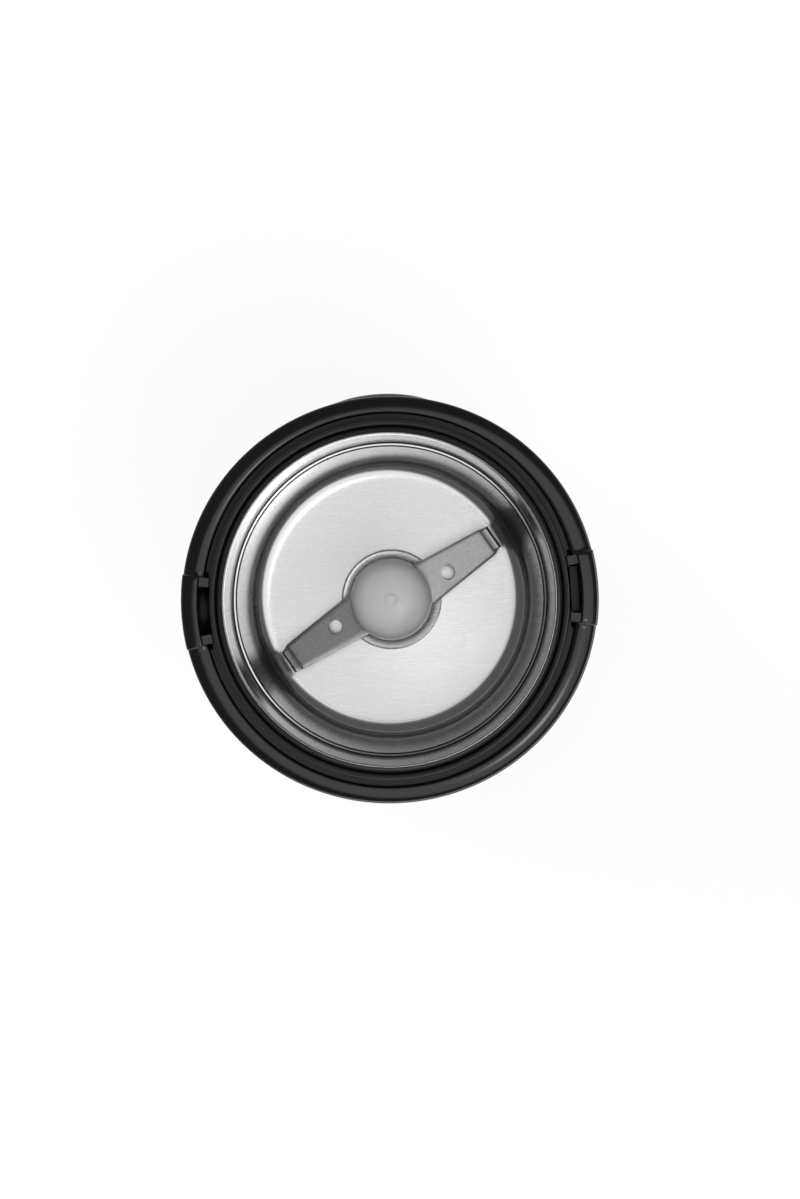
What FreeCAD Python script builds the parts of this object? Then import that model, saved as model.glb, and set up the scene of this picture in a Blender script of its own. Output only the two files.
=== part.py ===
import FreeCAD, Part
import math
import os
import Sketcher

# Electric spice grinder, open at the top, with a lift-out steel bowl.
# Millimetres. The base rests on z = 0, +Z is up and the power button faces -Y.

doc = FreeCAD.newDocument("SpiceGrinder")
sheet = doc.addObject("Spreadsheet::Sheet", "Sizes")
named = []


class Size:
    """A number kept together with the spreadsheet formula that gives it."""

    def __init__(self, value, text):
        self.value = value
        self.text = text

    def __add__(self, other):
        other = as_size(other)
        return Size(self.value + other.value, f"({self.text} + {other.text})")

    def __sub__(self, other):
        other = as_size(other)
        return Size(self.value - other.value, f"({self.text} - {other.text})")

    def __mul__(self, other):
        other = as_size(other)
        return Size(self.value * other.value, f"({self.text} * {other.text})")

    def __truediv__(self, other):
        other = as_size(other)
        return Size(self.value / other.value, f"({self.text} / {other.text})")

    def __radd__(self, other):
        return as_size(other) + self

    def __rsub__(self, other):
        return as_size(other) - self

    def __rmul__(self, other):
        return as_size(other) * self

    def __neg__(self):
        return Size(-self.value, f"(0 - {self.text})")


def as_size(item):
    """A plain number as a Size, so that both kinds mix in one formula."""
    if isinstance(item, Size):
        return item
    if item < 0:
        return Size(float(item), f"(0 - {abs(item)})")
    return Size(float(item), f"{item}")


def size(name, value):
    """Writes one named size into the spreadsheet, as a number or a formula."""
    named.append(name)
    row = len(named)
    cell = str(value)
    if isinstance(value, Size):
        cell = "=" + value.text.replace("Sizes.", "")
    sheet.set(f"A{row}", name)
    sheet.set(f"B{row}", cell)
    sheet.setAlias(f"B{row}", name)
    return Size(as_size(value).value, f"Sizes.{name}")


def cosine(angle):
    return Size(math.cos(math.radians(angle.value)), f"cos({angle.text})")


def sine(angle):
    return Size(math.sin(math.radians(angle.value)), f"sin({angle.text})")


def tangent(angle):
    return Size(math.tan(math.radians(angle.value)), f"tan({angle.text})")


def root(area):
    return Size(math.sqrt(area.value), f"sqrt({area.text})")


def bind(thing, path, amount):
    thing.setExpression(path, as_size(amount).text)


class Piece:
    """One part made feature by feature in a PartDesign body of its own."""

    def __init__(self, label):
        self.body = doc.addObject("PartDesign::Body", label)
        self.body.Label = label

    def origin(self, role):
        for feature in self.body.Origin.OriginFeatures:
            if feature.Role == role:
                return feature

    def sketch(self, role="XY_Plane", offset=0):
        """A sketch on one of the body's planes. XZ sketches look along +Y."""
        drawing = self.body.newObject("Sketcher::SketchObject", "Outline")
        drawing.AttachmentSupport = [(self.origin(role), "")]
        drawing.MapMode = "FlatFace"
        bind(drawing, "AttachmentOffset.Base.z", offset)
        return drawing

    def profile(self, corners, arcs=None):
        """A half section in the XZ plane: radius and height of each corner."""
        drawing = self.sketch("XZ_Plane")
        loop(drawing, corners, arcs)
        return drawing

    def add(self, kind, drawing=None):
        feature = self.body.newObject("PartDesign::" + kind, kind)
        if drawing is not None:
            feature.Profile = drawing
        self.body.Tip = feature
        return feature

    def pad(self, drawing, length, down=False, both=False):
        feature = self.add("Pad", drawing)
        feature.Reversed = down
        feature.Midplane = both
        bind(feature, "Length", length)
        return feature

    def pocket(self, drawing, length, up=False, both=False):
        """Cuts downwards from the sketch, or upwards when told so."""
        feature = self.add("Pocket", drawing)
        feature.Reversed = up
        feature.Midplane = both
        bind(feature, "Length", length)
        return feature

    def turn(self, drawing):
        feature = self.add("Revolution", drawing)
        feature.ReferenceAxis = (drawing, ["V_Axis"])
        feature.Angle = 360
        return feature

    def turned(self, corners, arcs=None):
        return self.turn(self.profile(corners, arcs))

    def groove(self, corners):
        drawing = self.profile(corners)
        feature = self.add("Groove", drawing)
        feature.ReferenceAxis = (drawing, ["V_Axis"])
        feature.Angle = 360
        return feature

    def around(self, features, count):
        feature = self.add("PolarPattern")
        feature.Originals = features
        feature.Axis = (self.origin("Z_Axis"), [""])
        feature.Angle = 360
        bind(feature, "Occurrences", count)
        return feature

    def mirror(self, features, role):
        feature = self.add("Mirrored")
        feature.Originals = features
        feature.MirrorPlane = (self.origin(role), [""])
        return feature

    def round(self, wanted, radius, kind="Fillet"):
        """Rounds or bevels the edges of the present tip that are wanted."""
        doc.recompute()
        base = self.body.Tip
        edges = []
        for number, edge in enumerate(base.Shape.Edges, 1):
            if wanted(edge):
                edges.append(f"Edge{number}")
        feature = self.add(kind)
        feature.Base = (base, edges)
        bind(feature, "Radius" if kind == "Fillet" else "Size", radius)
        return feature

    def turn_about_z(self, angle):
        bind(self.body, "Placement.Rotation.Angle", angle)


def loop(drawing, corners, arcs=None):
    """Draws a closed outline through corners, each held by two dimensions.

    The edge after a corner listed in arcs is an arc of the given radius,
    counter-clockwise when positive and clockwise when negative. A half circle
    stands on an upright pair of corners.
    """
    arcs = arcs or {}
    first = drawing.GeometryCount
    count = len(corners)
    points = []
    for across, along in corners:
        points.append(FreeCAD.Vector(as_size(across).value, as_size(along).value, 0))
    ends = []
    for index in range(count):
        start = points[index]
        stop = points[(index + 1) % count]
        if index not in arcs:
            drawing.addGeometry(Part.LineSegment(start, stop), False)
            ends.append((1, 2))
            continue
        radius = as_size(arcs[index])
        span = stop - start
        middle = (start + stop) * 0.5
        reach = math.sqrt(max(radius.value ** 2 - (span.Length / 2) ** 2, 0))
        left = FreeCAD.Vector(-span.y, span.x, 0) * (1 / span.Length)
        side = 1 if radius.value > 0 else -1
        centre = middle + left * (reach * side)
        circle = Part.Circle(centre, FreeCAD.Vector(0, 0, 1), abs(radius.value))
        from_angle = math.atan2(start.y - centre.y, start.x - centre.x)
        to_angle = math.atan2(stop.y - centre.y, stop.x - centre.x)
        if side < 0:
            from_angle, to_angle = to_angle, from_angle
        if to_angle < from_angle:
            to_angle += 2 * math.pi
        drawing.addGeometry(Part.ArcOfCircle(circle, from_angle, to_angle), False)
        ends.append((1, 2) if side > 0 else (2, 1))
        if reach < 1e-6:
            number = drawing.addConstraint(
                Sketcher.Constraint("DistanceX", -1, 1, first + index, 3, centre.x))
            bind(drawing, f"Constraints[{number}]", corners[index][0])
            continue
        number = drawing.addConstraint(
            Sketcher.Constraint("Radius", first + index, abs(radius.value)))
        bind(drawing, f"Constraints[{number}]", radius if side > 0 else -radius)
    for index in range(count):
        after = (index + 1) % count
        drawing.addConstraint(Sketcher.Constraint(
            "Coincident", first + index, ends[index][1], first + after, ends[after][0]))
        hold(drawing, first + index, ends[index][0], corners[index])


def hold(drawing, geometry, point, place):
    """Dimensions one point of a sketch from the sketch's own origin."""
    for kind, amount in zip(("DistanceX", "DistanceY"), place):
        amount = as_size(amount)
        number = drawing.addConstraint(
            Sketcher.Constraint(kind, -1, 1, geometry, point, amount.value))
        bind(drawing, f"Constraints[{number}]", amount)


def disc(drawing, radius, across=0, along=0):
    """Draws a circle."""
    centre = FreeCAD.Vector(as_size(across).value, as_size(along).value, 0)
    radius = as_size(radius)
    index = drawing.addGeometry(
        Part.Circle(centre, FreeCAD.Vector(0, 0, 1), radius.value), False)
    hold(drawing, index, 3, (across, along))
    number = drawing.addConstraint(Sketcher.Constraint("Radius", index, radius.value))
    bind(drawing, f"Constraints[{number}]", radius)


def box(drawing, left, right, bottom, top):
    """Draws a rectangle from its four sides."""
    loop(drawing, [(left, bottom), (right, bottom), (right, top), (left, top)])


def level(edge, height):
    """True for an edge that lies wholly at one height."""
    bounds = edge.BoundBox
    return abs(bounds.ZMin - height) < 1e-4 and abs(bounds.ZMax - height) < 1e-4


def ring_at(radius, height):
    """Picks round edges about the Z axis by radius and height."""
    def wanted(edge):
        if not level(edge, as_size(height).value):
            return False
        if not hasattr(edge.Curve, "Radius"):
            return False
        return abs(edge.Curve.Radius - as_size(radius).value) < 1e-4
    return wanted


def upright(edge):
    """True for a straight edge along Z."""
    bounds = edge.BoundBox
    return bounds.XLength < 1e-4 and bounds.YLength < 1e-4


# Main sizes across. The rings of the mouth, the well and the motor follow
# the body's radius.
body_radius = size("body_radius", 50)
waist_depth = size("waist_depth", 2)
shell_wall = size("shell_wall", 2.2)
mouth_inset = size("mouth_inset", 3.9)
mouth_radius = size("mouth_radius", body_radius - mouth_inset)
catch_room = size("catch_room", 1.3)
catch_outer = size("catch_outer", mouth_radius + catch_room)
collar_gap = size("collar_gap", 2)
collar_radius = size("collar_radius", mouth_radius - collar_gap)
collar_width = size("collar_width", 3.2)
rim_radius = size("rim_radius", collar_radius - collar_width)
rim_flare = size("rim_flare", 3.5)
wall_radius = size("wall_radius", rim_radius - rim_flare)
well_gap = size("well_gap", 1.9)
well_radius = size("well_radius", wall_radius + well_gap)
well_wall = size("well_wall", 1.2)
boss_radius = size("boss_radius", 12.8)
motor_inset = size("motor_inset", 21)
stator_width = size("stator_width", 2 * (body_radius - motor_inset))
stator_depth = size("stator_depth", stator_width - 6)
armature_radius = size("armature_radius", stator_depth * 15.1 / 52)
armature_slots = size("armature_slots", 12)
commutator_radius = size("commutator_radius", 9.5)
fan_radius = size("fan_radius", stator_width / 2 - 7)
column_x = size("column_x", body_radius - 16)
column_y = size("column_y", body_radius - 32)
column_radius = size("column_radius", 3.2)
post_x = size("post_x", stator_width / 2 - 6)
post_y = size("post_y", stator_depth / 2 - 11)
foot_x = size("foot_x", body_radius - 26)
foot_y = size("foot_y", body_radius - 20)
foot_radius = size("foot_radius", 6)

# Main heights. The motor and the well stand on one another from the base up;
# the body, the collar and the button follow the rim.
foot_height = size("foot_height", 3)
motor_rise = size("motor_rise", 9)
lower_plate = size("lower_plate", foot_height + motor_rise)
brush_room = size("brush_room", 24)
stack_bottom = size("stack_bottom", lower_plate + brush_room)
stack_height = size("stack_height", 24)
fan_room = size("fan_room", 17)
upper_plate = size("upper_plate", stack_bottom + stack_height + fan_room)
plate_sheet = size("plate_sheet", 2.5)
damper_height = size("damper_height", 5)
post_bottom = size("post_bottom", upper_plate + plate_sheet + damper_height)
post_height = size("post_height", 6)
well_sheet = size("well_sheet", 2.5)
well_floor = size("well_floor", post_bottom + post_height + well_sheet)
bowl_foot = size("bowl_foot", 13)
rim_height = size("rim_height", 148)
bowl_depth = size("bowl_depth", rim_height - well_floor - bowl_foot)
bowl_sheet = size("bowl_sheet", 0.5)
rim_stand = size("rim_stand", 6)
body_top = size("body_top", rim_height - rim_stand)
shoulder_round = size("shoulder_round", 3.6)
boss_rise = size("boss_rise", 2.5)
button_drop = size("button_drop", 32)
button_level = size("button_level", body_top - button_drop)
cord_level = size("cord_level", 18)

# Other sizes.
lug_half = size("lug_half", 9.25)
catch_width = size("catch_width", 12)
play = size("play", 0.3)
shaft_radius = size("shaft_radius", 3)
running_fit = size("running_fit", 0.04)
blade_length = size("blade_length", 60.6)
blade_sheet = size("blade_sheet", 1.5)
blade_angle = size("blade_angle", 31.5)
wing_rise = size("wing_rise", 4)
tab_height = size("tab_height", 7)
hub_radius = size("hub_radius", 10.4)
hub_height = size("hub_height", 10)
button_width = size("button_width", 33)
button_height = size("button_height", 22)
button_stand = size("button_stand", 2.2)
button_reach = size("button_reach", body_radius + button_stand)
button_curve = size("button_curve", 40)
cord_bore = size("cord_bore", 3.4)

doc.recompute()

floor_top = rim_height - bowl_depth
boss_top = floor_top + boss_rise
catch_half = catch_width / 2
shoulder_bend = body_top - shoulder_round


def oval(drawing, width, height, across, along):
    """Draws an oval of two half circles joined by flats."""
    radius = height / 2
    reach = (width - height) / 2
    loop(
        drawing,
        [
            (across - reach, along - radius),
            (across + reach, along - radius),
            (across + reach, along + radius),
            (across - reach, along + radius),
        ],
        {1: radius, 3: radius},
    )


def four(drawing, radius, across, along):
    """Draws the same circle in all four quarters."""
    for side in (1, -1):
        for end in (1, -1):
            disc(drawing, radius, side * across, end * along)


# The glossy shell: one moulding with a gentle waist and a rounded shoulder.
# Two lugs for the lid stand out of it at the sides, each with a catch slot.
housing = Piece("housing")
waist_radius = body_radius - waist_depth
waist_half = size("waist_half", 18)
waist_drop = size("waist_drop", 74)
waist_level = size("waist_level", body_top - waist_drop)
inner_top = body_top - shell_wall
inner_low = waist_radius - shell_wall
inner_high = body_radius - shell_wall
lip_bottom = body_top - 8.5
lip_outer = catch_outer
housing.turned(
    [
        (inner_low, foot_height),
        (body_radius, foot_height),
        (waist_radius, waist_level - waist_half),
        (waist_radius, waist_level + waist_half),
        (body_radius, shoulder_bend),
        (body_radius - shoulder_round, body_top),
        (mouth_radius, body_top),
        (mouth_radius, lip_bottom),
        (lip_outer, lip_bottom),
        (lip_outer, inner_top),
        (inner_high, inner_top),
        (inner_low, waist_level + waist_half),
    ],
    {4: shoulder_round},
)
lug_stand = size("lug_stand", 1.4)
lug_reach = body_radius + lug_stand
lug_side = root(lug_reach * lug_reach - lug_half * lug_half)
lug_top = body_top + 0.4
lug_depth = size("lug_depth", 8.9)
catch_depth = size("catch_depth", 11.4)
step_depth = size("step_depth", 1.9)
drawing = housing.sketch("XY_Plane", lug_top)
for sign in (1, -1):
    loop(
        drawing,
        [
            (sign * (mouth_radius - 1.5), -sign * lug_half),
            (sign * lug_side, -sign * lug_half),
            (sign * lug_side, sign * lug_half),
            (sign * (mouth_radius - 1.5), sign * lug_half),
        ],
        {1: lug_reach},
    )
housing.pad(drawing, lug_depth, down=True)
housing.round(
    lambda edge: level(edge, lug_top.value)
    and abs(getattr(edge.Curve, "Radius", 0) - lug_reach.value) < 0.01,
    shoulder_round - 0.6,
)
for half, depth in ((lug_half, step_depth), (catch_half, catch_depth)):
    drawing = housing.sketch("XY_Plane", lug_top)
    box(drawing, mouth_radius - 2, catch_outer, -half, half)
    box(drawing, -catch_outer, 2 - mouth_radius, -half, half)
    housing.pocket(drawing, depth)
drawing = housing.sketch("XZ_Plane", body_radius - 12)
oval(drawing, button_width + 2 * play, button_height + 2 * play, 0, button_level)
housing.pocket(drawing, 20, up=True)
inlet_width = 2 * cord_bore + 6.2
inlet_height = 2 * cord_bore + 3.6
drawing = housing.sketch("XZ_Plane", 3 - inner_low)
oval(drawing, inlet_width + 0.2, inlet_height + 0.2, 0, cord_level)
housing.pocket(drawing, 12)

# The chassis: a well for the bowl, four columns down to the base cover and
# four short posts that the motor hangs from.
chassis = Piece("chassis")
well_top = body_top - 1.8
well_outer = well_radius + well_wall
collar_height = size("collar_height", 19)
collar_bottom = rim_height - collar_height
step_level = size("step_level", collar_bottom - 1.5)
ring_inner = collar_radius + 0.4
ring_outer = mouth_radius - 0.2
drive_hole = size("drive_hole", 12)
well_under = well_floor - well_sheet
chassis.turned([
    (drive_hole, well_under),
    (well_outer, well_under),
    (well_outer, step_level - 1.8),
    (ring_outer, step_level - 1.8),
    (ring_outer, lip_bottom - 2.5),
    (lip_outer, lip_bottom - 2.5),
    (lip_outer, lip_bottom),
    (ring_outer, lip_bottom),
    (ring_outer, well_top),
    (ring_inner, well_top),
    (ring_inner, step_level),
    (well_radius, step_level),
    (well_radius, well_floor),
    (drive_hole, well_floor),
])
drawing = chassis.sketch("XY_Plane", well_top + 1)
box(drawing, ring_inner - 0.3, lip_outer + 1, -lug_half - 0.4, lug_half + 0.4)
box(drawing, -lip_outer - 1, 0.3 - ring_inner, -lug_half - 0.4, lug_half + 0.4)
chassis.pocket(drawing, 17)
column_bottom = foot_height + 2.5
drawing = chassis.sketch("XY_Plane", column_bottom)
four(drawing, column_radius, column_x, column_y)
chassis.pad(drawing, well_under - column_bottom + 0.5)
drawing = chassis.sketch("XY_Plane", post_bottom)
four(drawing, 4, post_x, post_y)
chassis.pad(drawing, well_under - post_bottom + 0.5)
drawing = chassis.sketch("XY_Plane", column_bottom)
four(drawing, 1.25, column_x, column_y)
chassis.pocket(drawing, 12, up=True)
drawing = chassis.sketch("XY_Plane", post_bottom)
four(drawing, 1.5, post_x, post_y)
chassis.pocket(drawing, 5, up=True)
corner_round = size("corner_round", 7)
base_radius = size("base_radius", wall_radius - corner_round - bowl_sheet - play)
drawing = chassis.sketch("XY_Plane", well_floor - 0.5)
box(drawing, base_radius - 6.6, base_radius - 3.6, -7, 7)
dog = chassis.pad(drawing, 4)
chassis.around([dog], 4)
switch_top = size("switch_top", well_floor - 9)
switch_face = well_outer - 1
drawing = chassis.sketch("XY_Plane", switch_top)
box(drawing, -10, 10, -switch_face, 6 - switch_face)
chassis.pad(drawing, well_under - switch_top + 0.5)
shelf_level = size("shelf_level", well_floor + 4)
drawing = chassis.sketch("XY_Plane", shelf_level - 3)
box(drawing, 2 - catch_outer, 1 - well_outer, -6.6, 6.6)
chassis.pad(drawing, 3)

# The drive coupling stands in the well; the bowl's own coupling drops on it.
flange_top = well_floor + 0.2
hex_top = size("hex_top", well_floor + 5.9)
hex_round = size("hex_round", 5.8)


def hexagon(drawing, radius):
    corners = []
    for turn in range(6):
        corners.append((
            radius * round(math.cos(math.radians(60 * turn)), 9),
            radius * round(math.sin(math.radians(60 * turn)), 9),
        ))
    loop(drawing, corners)


drive_coupling = Piece("drive_coupling")
drive_coupling.turned([
    (shaft_radius, well_floor - 5.6),
    (6.5, well_floor - 5.6),
    (6.5, flange_top - 1.8),
    (8.5, flange_top - 1.8),
    (8.5, flange_top),
    (shaft_radius, flange_top),
])
drawing = drive_coupling.sketch("XY_Plane", flange_top - 0.4)
hexagon(drawing, hex_round)
drive_coupling.pad(drawing, hex_top - flange_top + 0.4)
drawing = drive_coupling.sketch("XY_Plane", well_floor - 13)
disc(drawing, shaft_radius)
drive_coupling.pocket(drawing, 16, up=True)

driven_coupling = Piece("driven_coupling")
socket_top = hex_top + play
driven_top = size("driven_top", well_floor + 9)
driven_coupling.turned([
    (0, flange_top + 0.7),
    (9.5, flange_top + 0.7),
    (9.5, driven_top),
    (0, driven_top),
])
drawing = driven_coupling.sketch("XY_Plane", flange_top)
hexagon(drawing, hex_round + 0.35)
driven_coupling.pocket(drawing, socket_top - flange_top, up=True)
drawing = driven_coupling.sketch("XY_Plane", socket_top - 0.5)
disc(drawing, shaft_radius)
driven_coupling.pocket(drawing, 10, up=True)

# Spun steel cup: tapered mouth, two beads, and a raised boss in its floor.
bowl = Piece("bowl")
bead_level = rim_height - 12
wall_top = rim_height - 15
wall_foot = floor_top + corner_round
bowl.turned([
    (7, boss_top - bowl_sheet),
    (boss_radius - 1.8, boss_top - bowl_sheet),
    (boss_radius - 0.2, floor_top - bowl_sheet),
    (wall_radius - 0.1, floor_top - bowl_sheet),
    (wall_radius, wall_foot),
    (wall_radius + 1.2, wall_top),
    (wall_radius + 1.3, wall_top + 1),
    (wall_radius + 2.1, bead_level),
    (rim_radius, rim_height),
    (rim_radius - bowl_sheet, rim_height),
    (wall_radius + 2.1 - bowl_sheet, bead_level),
    (wall_radius + 1.3 - bowl_sheet, wall_top + 1),
    (wall_radius + 1.2 - bowl_sheet, wall_top),
    (wall_radius - bowl_sheet, wall_foot),
    (wall_radius - 0.1 - bowl_sheet, floor_top),
    (boss_radius, floor_top),
    (boss_radius - 1.6, boss_top),
    (7, boss_top),
])
bowl.round(ring_at(wall_radius - 0.1 - bowl_sheet, floor_top), corner_round)
bowl.round(ring_at(wall_radius - 0.1, floor_top - bowl_sheet), corner_round + bowl_sheet)

# Black ring that edges the cup, with the groove that takes the lid's seal.
bowl_collar = Piece("bowl_collar")
bowl_collar.turned([
    (wall_radius + 1.5, collar_bottom),
    (collar_radius, collar_bottom),
    (collar_radius, rim_height - 2.4),
    (collar_radius - 0.6, rim_height - 1.8),
    (collar_radius - 1.4, rim_height - 2.2),
    (collar_radius - 1.4, rim_height - 4.8),
    (rim_radius + 0.8, rim_height - 4.8),
    (rim_radius + 0.8, rim_height - 0.9),
    (rim_radius + 0.1, rim_height - 0.3),
    (wall_radius + 2.3, bead_level + 0.1),
    (wall_radius + 1.5, wall_top + 1.1),
])

# Foot of the bowl: a ribbed black disc that holds the blade's bearing.
bowl_base = Piece("bowl_base")
base_bottom = well_floor + play
plate_under = size("plate_under", floor_top - 3)
bush_radius = size("bush_radius", 5)
bush_bottom = driven_top + play
bowl_base.turned([
    (bush_radius, bush_bottom),
    (11, bush_bottom),
    (11, base_bottom),
    (13.5, base_bottom),
    (13.5, plate_under),
    (base_radius - 2.5, plate_under),
    (base_radius - 2.5, base_bottom),
    (base_radius, base_bottom),
    (base_radius, floor_top - bowl_sheet),
    (boss_radius - 0.2, floor_top - bowl_sheet),
    (boss_radius - 1.8, boss_top - bowl_sheet),
    (7, boss_top - bowl_sheet),
    (7, boss_top),
    (bush_radius, boss_top),
])
drawing = bowl_base.sketch("XY_Plane", base_bottom)
loop(drawing, [(13, -0.8), (base_radius - 2, -0.8), (base_radius - 2, 0.8), (13, 0.8)])
rib = bowl_base.pad(drawing, plate_under - base_bottom + 0.5)
bowl_base.around([rib], 4)
bowl_base.turn_about_z(45)

bowl_bush = Piece("bowl_bush")
bush_top = boss_top + 0.8
bowl_bush.turned([
    (shaft_radius + running_fit, bush_bottom),
    (bush_radius, bush_bottom),
    (bush_radius, bush_top),
    (shaft_radius + running_fit, bush_top),
])

# Blade: one strip of steel, both ends bent up, tapered in plan and drilled.
# Its two halves are alike after half a turn.
blade = Piece("blade")
blade_level = floor_top + 5
half_length = blade_length / 2
flat_half = size("flat_half", 9)
rise = (half_length - flat_half) * tangent(wing_rise)
tab_top = blade_level + rise + tab_height
drawing = blade.sketch("XZ_Plane")
loop(drawing, [
    (-half_length, tab_top),
    (-half_length, blade_level + rise),
    (-flat_half, blade_level),
    (flat_half, blade_level),
    (half_length, blade_level + rise),
    (half_length, tab_top),
    (half_length - blade_sheet, tab_top),
    (half_length - blade_sheet, blade_level + rise + blade_sheet),
    (flat_half, blade_level + blade_sheet),
    (-flat_half, blade_level + blade_sheet),
    (blade_sheet - half_length, blade_level + rise + blade_sheet),
    (blade_sheet - half_length, tab_top),
])
blade.pad(drawing, 20, both=True)
bend_inner = size("bend_inner", 2.4)
inner_at = half_length - blade_sheet
blade.round(
    lambda edge: abs(abs(edge.CenterOfMass.x) - inner_at.value) < 1e-3
    and abs(edge.CenterOfMass.z - (blade_level + rise + blade_sheet).value) < 1e-3,
    bend_inner,
)
blade.round(
    lambda edge: abs(abs(edge.CenterOfMass.x) - half_length.value) < 1e-3
    and abs(edge.CenterOfMass.z - (blade_level + rise).value) < 1e-3,
    bend_inner + blade_sheet,
)
drawing = blade.sketch("XY_Plane", blade_level + 20)
wing = [
    (7.7, -6.8), (half_length, -5.0), (half_length, 1.3), (half_length - 2.9, 1.7), (9.7, 3.9),
]
other_wing = [(-as_size(across), -as_size(along)) for across, along in wing]
loop(drawing, wing + other_wing)
box(drawing, -half_length - 5, half_length + 5, -15, 15)
hole_at = (half_length - 14.4, as_size(-2.5))
disc(drawing, 1.85, hole_at[0], hole_at[1])
disc(drawing, 1.85, -hole_at[0], -hole_at[1])
disc(drawing, shaft_radius)
blade.pocket(drawing, 30)
blade.turn_about_z(blade_angle)

blade_hub = Piece("blade_hub")
hub_bottom = blade_level + blade_sheet
hub_side = size("hub_side", 3)
hub_tip = size("hub_tip", 2.2)
# The dome is part of a ball whose centre lies on the axis.
dome_drop = (
    hub_height * hub_height + hub_tip * hub_tip - hub_side * hub_side - hub_radius * hub_radius
) / (2 * (hub_height - hub_side))
dome_radius = root(hub_radius * hub_radius + (hub_side - dome_drop) * (hub_side - dome_drop))
blade_hub.turned(
    [
        (shaft_radius, hub_bottom),
        (hub_radius, hub_bottom),
        (hub_radius, hub_bottom + hub_side),
        (hub_tip, hub_bottom + hub_height),
        (0, hub_bottom + hub_height),
        (0, hub_bottom + 6.5),
        (shaft_radius, hub_bottom + 6.5),
    ],
    {2: dome_radius},
)

blade_shaft = Piece("blade_shaft")
blade_shaft.turned([
    (0, socket_top),
    (shaft_radius, socket_top),
    (shaft_radius, hub_bottom + 6.5),
    (0, hub_bottom + 6.5),
])

thrust_washer = Piece("thrust_washer")
thrust_washer.turned([
    (shaft_radius, bush_top + 0.2),
    (7, bush_top + 0.2),
    (7, blade_level),
    (shaft_radius, blade_level),
])

# Power button: an oval cap with a domed front, a curved flange behind the
# wall and a leg that reaches down to the switch under the well.
power_button = Piece("power_button")
flange_outer = size("flange_outer", inner_high - 1.9)
flange_inner = size("flange_inner", flange_outer - 1.4)
cap_half = button_width / 2 + 2
flange_half = size("flange_half", 18.5)
curve_centre = button_curve - button_reach
cap_back = body_radius - 15
drawing = power_button.sketch("XZ_Plane", cap_back)
oval(drawing, button_width, button_height, 0, button_level)
power_button.pad(drawing, button_reach + 3.4 - cap_back)
drawing = power_button.sketch("XY_Plane", button_level + 20)
loop(
    drawing,
    [
        (-cap_half, curve_centre - root(button_curve * button_curve - cap_half * cap_half)),
        (cap_half, curve_centre - root(button_curve * button_curve - cap_half * cap_half)),
        (cap_half, -button_reach - 8.4),
        (-cap_half, -button_reach - 8.4),
    ],
    {0: button_curve},
)
power_button.pocket(drawing, 40)
drawing = power_button.sketch("XY_Plane", button_level + 20)
back = root(flange_inner * flange_inner - cap_half * cap_half)
loop(
    drawing,
    [(-cap_half, -back), (cap_half, -back), (cap_half, 5 - cap_back), (-cap_half, 5 - cap_back)],
    {0: flange_inner},
)
power_button.pocket(drawing, 40)
drawing = power_button.sketch("XY_Plane", button_level - button_height / 2 - 1)
front = root(flange_outer * flange_outer - flange_half * flange_half)
back = root(flange_inner * flange_inner - flange_half * flange_half)
loop(
    drawing,
    [(-flange_half, -front), (flange_half, -front), (flange_half, -back), (-flange_half, -back)],
    {0: flange_outer, 2: -flange_inner},
)
power_button.pad(drawing, button_height + 2)
leg_foot = switch_top - 6
drawing = power_button.sketch("XY_Plane", leg_foot)
box(drawing, -3, 3, -flange_outer + 0.5, -flange_inner + 0.5)
power_button.pad(drawing, button_level - leg_foot)
power_button.round(
    lambda edge: edge.BoundBox.YMax < 9 - button_reach.value
    and edge.CenterOfMass.y < 5.7 - button_reach.value and edge.Length > 5,
    2,
)

# Catch plunger: the lid's tongue pushes it down in the slot of the left lug.
interlock_plunger = Piece("interlock_plunger")
plunger_top = size("plunger_top", body_top - 6)
plunger_foot = size("plunger_foot", shelf_level + 12)
drawing = interlock_plunger.sketch("XY_Plane", plunger_top - 8)
box(drawing, 0.7 - catch_outer, 2.5 - catch_outer, 0.5 - catch_half, catch_half - 0.5)
interlock_plunger.pad(drawing, 8)
drawing = interlock_plunger.sketch("XY_Plane", plunger_foot)
box(drawing, 1.2 - catch_outer, 3.1 - catch_outer, -2.5, 2.5)
interlock_plunger.pad(drawing, plunger_top - 7 - plunger_foot)

# Two switches: one under the well for the button, one beside it for the lid.
power_switch = Piece("power_switch")
switch_low = switch_top - 10
drawing = power_switch.sketch("XY_Plane", switch_low)
box(drawing, -9.9, 9.9, -switch_face, 6.5 - switch_face)
power_switch.pad(drawing, 10)
drawing = power_switch.sketch("XY_Plane", switch_low + 4)
box(drawing, -1.5, 1.5, -switch_face - 1.3, 0.5 - switch_face)
power_switch.pad(drawing, 3)
drawing = power_switch.sketch("XY_Plane", switch_low + 1)
for across in (-8, 0, 8):
    box(drawing, across - 1.6, across + 1.6, 3.1 - switch_face, 3.6 - switch_face)
power_switch.pad(drawing, 7, down=True)

interlock_switch = Piece("interlock_switch")
drawing = interlock_switch.sketch("XY_Plane", shelf_level)
box(drawing, 1.8 - catch_outer, 6.2 - catch_outer, -6.4, 6.4)
interlock_switch.pad(drawing, 8.5)
drawing = interlock_switch.sketch("XY_Plane", shelf_level + 8)
box(drawing, 2.8 - catch_outer, 4 - catch_outer, -1.5, 1.5)
interlock_switch.pad(drawing, 0.8)

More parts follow.
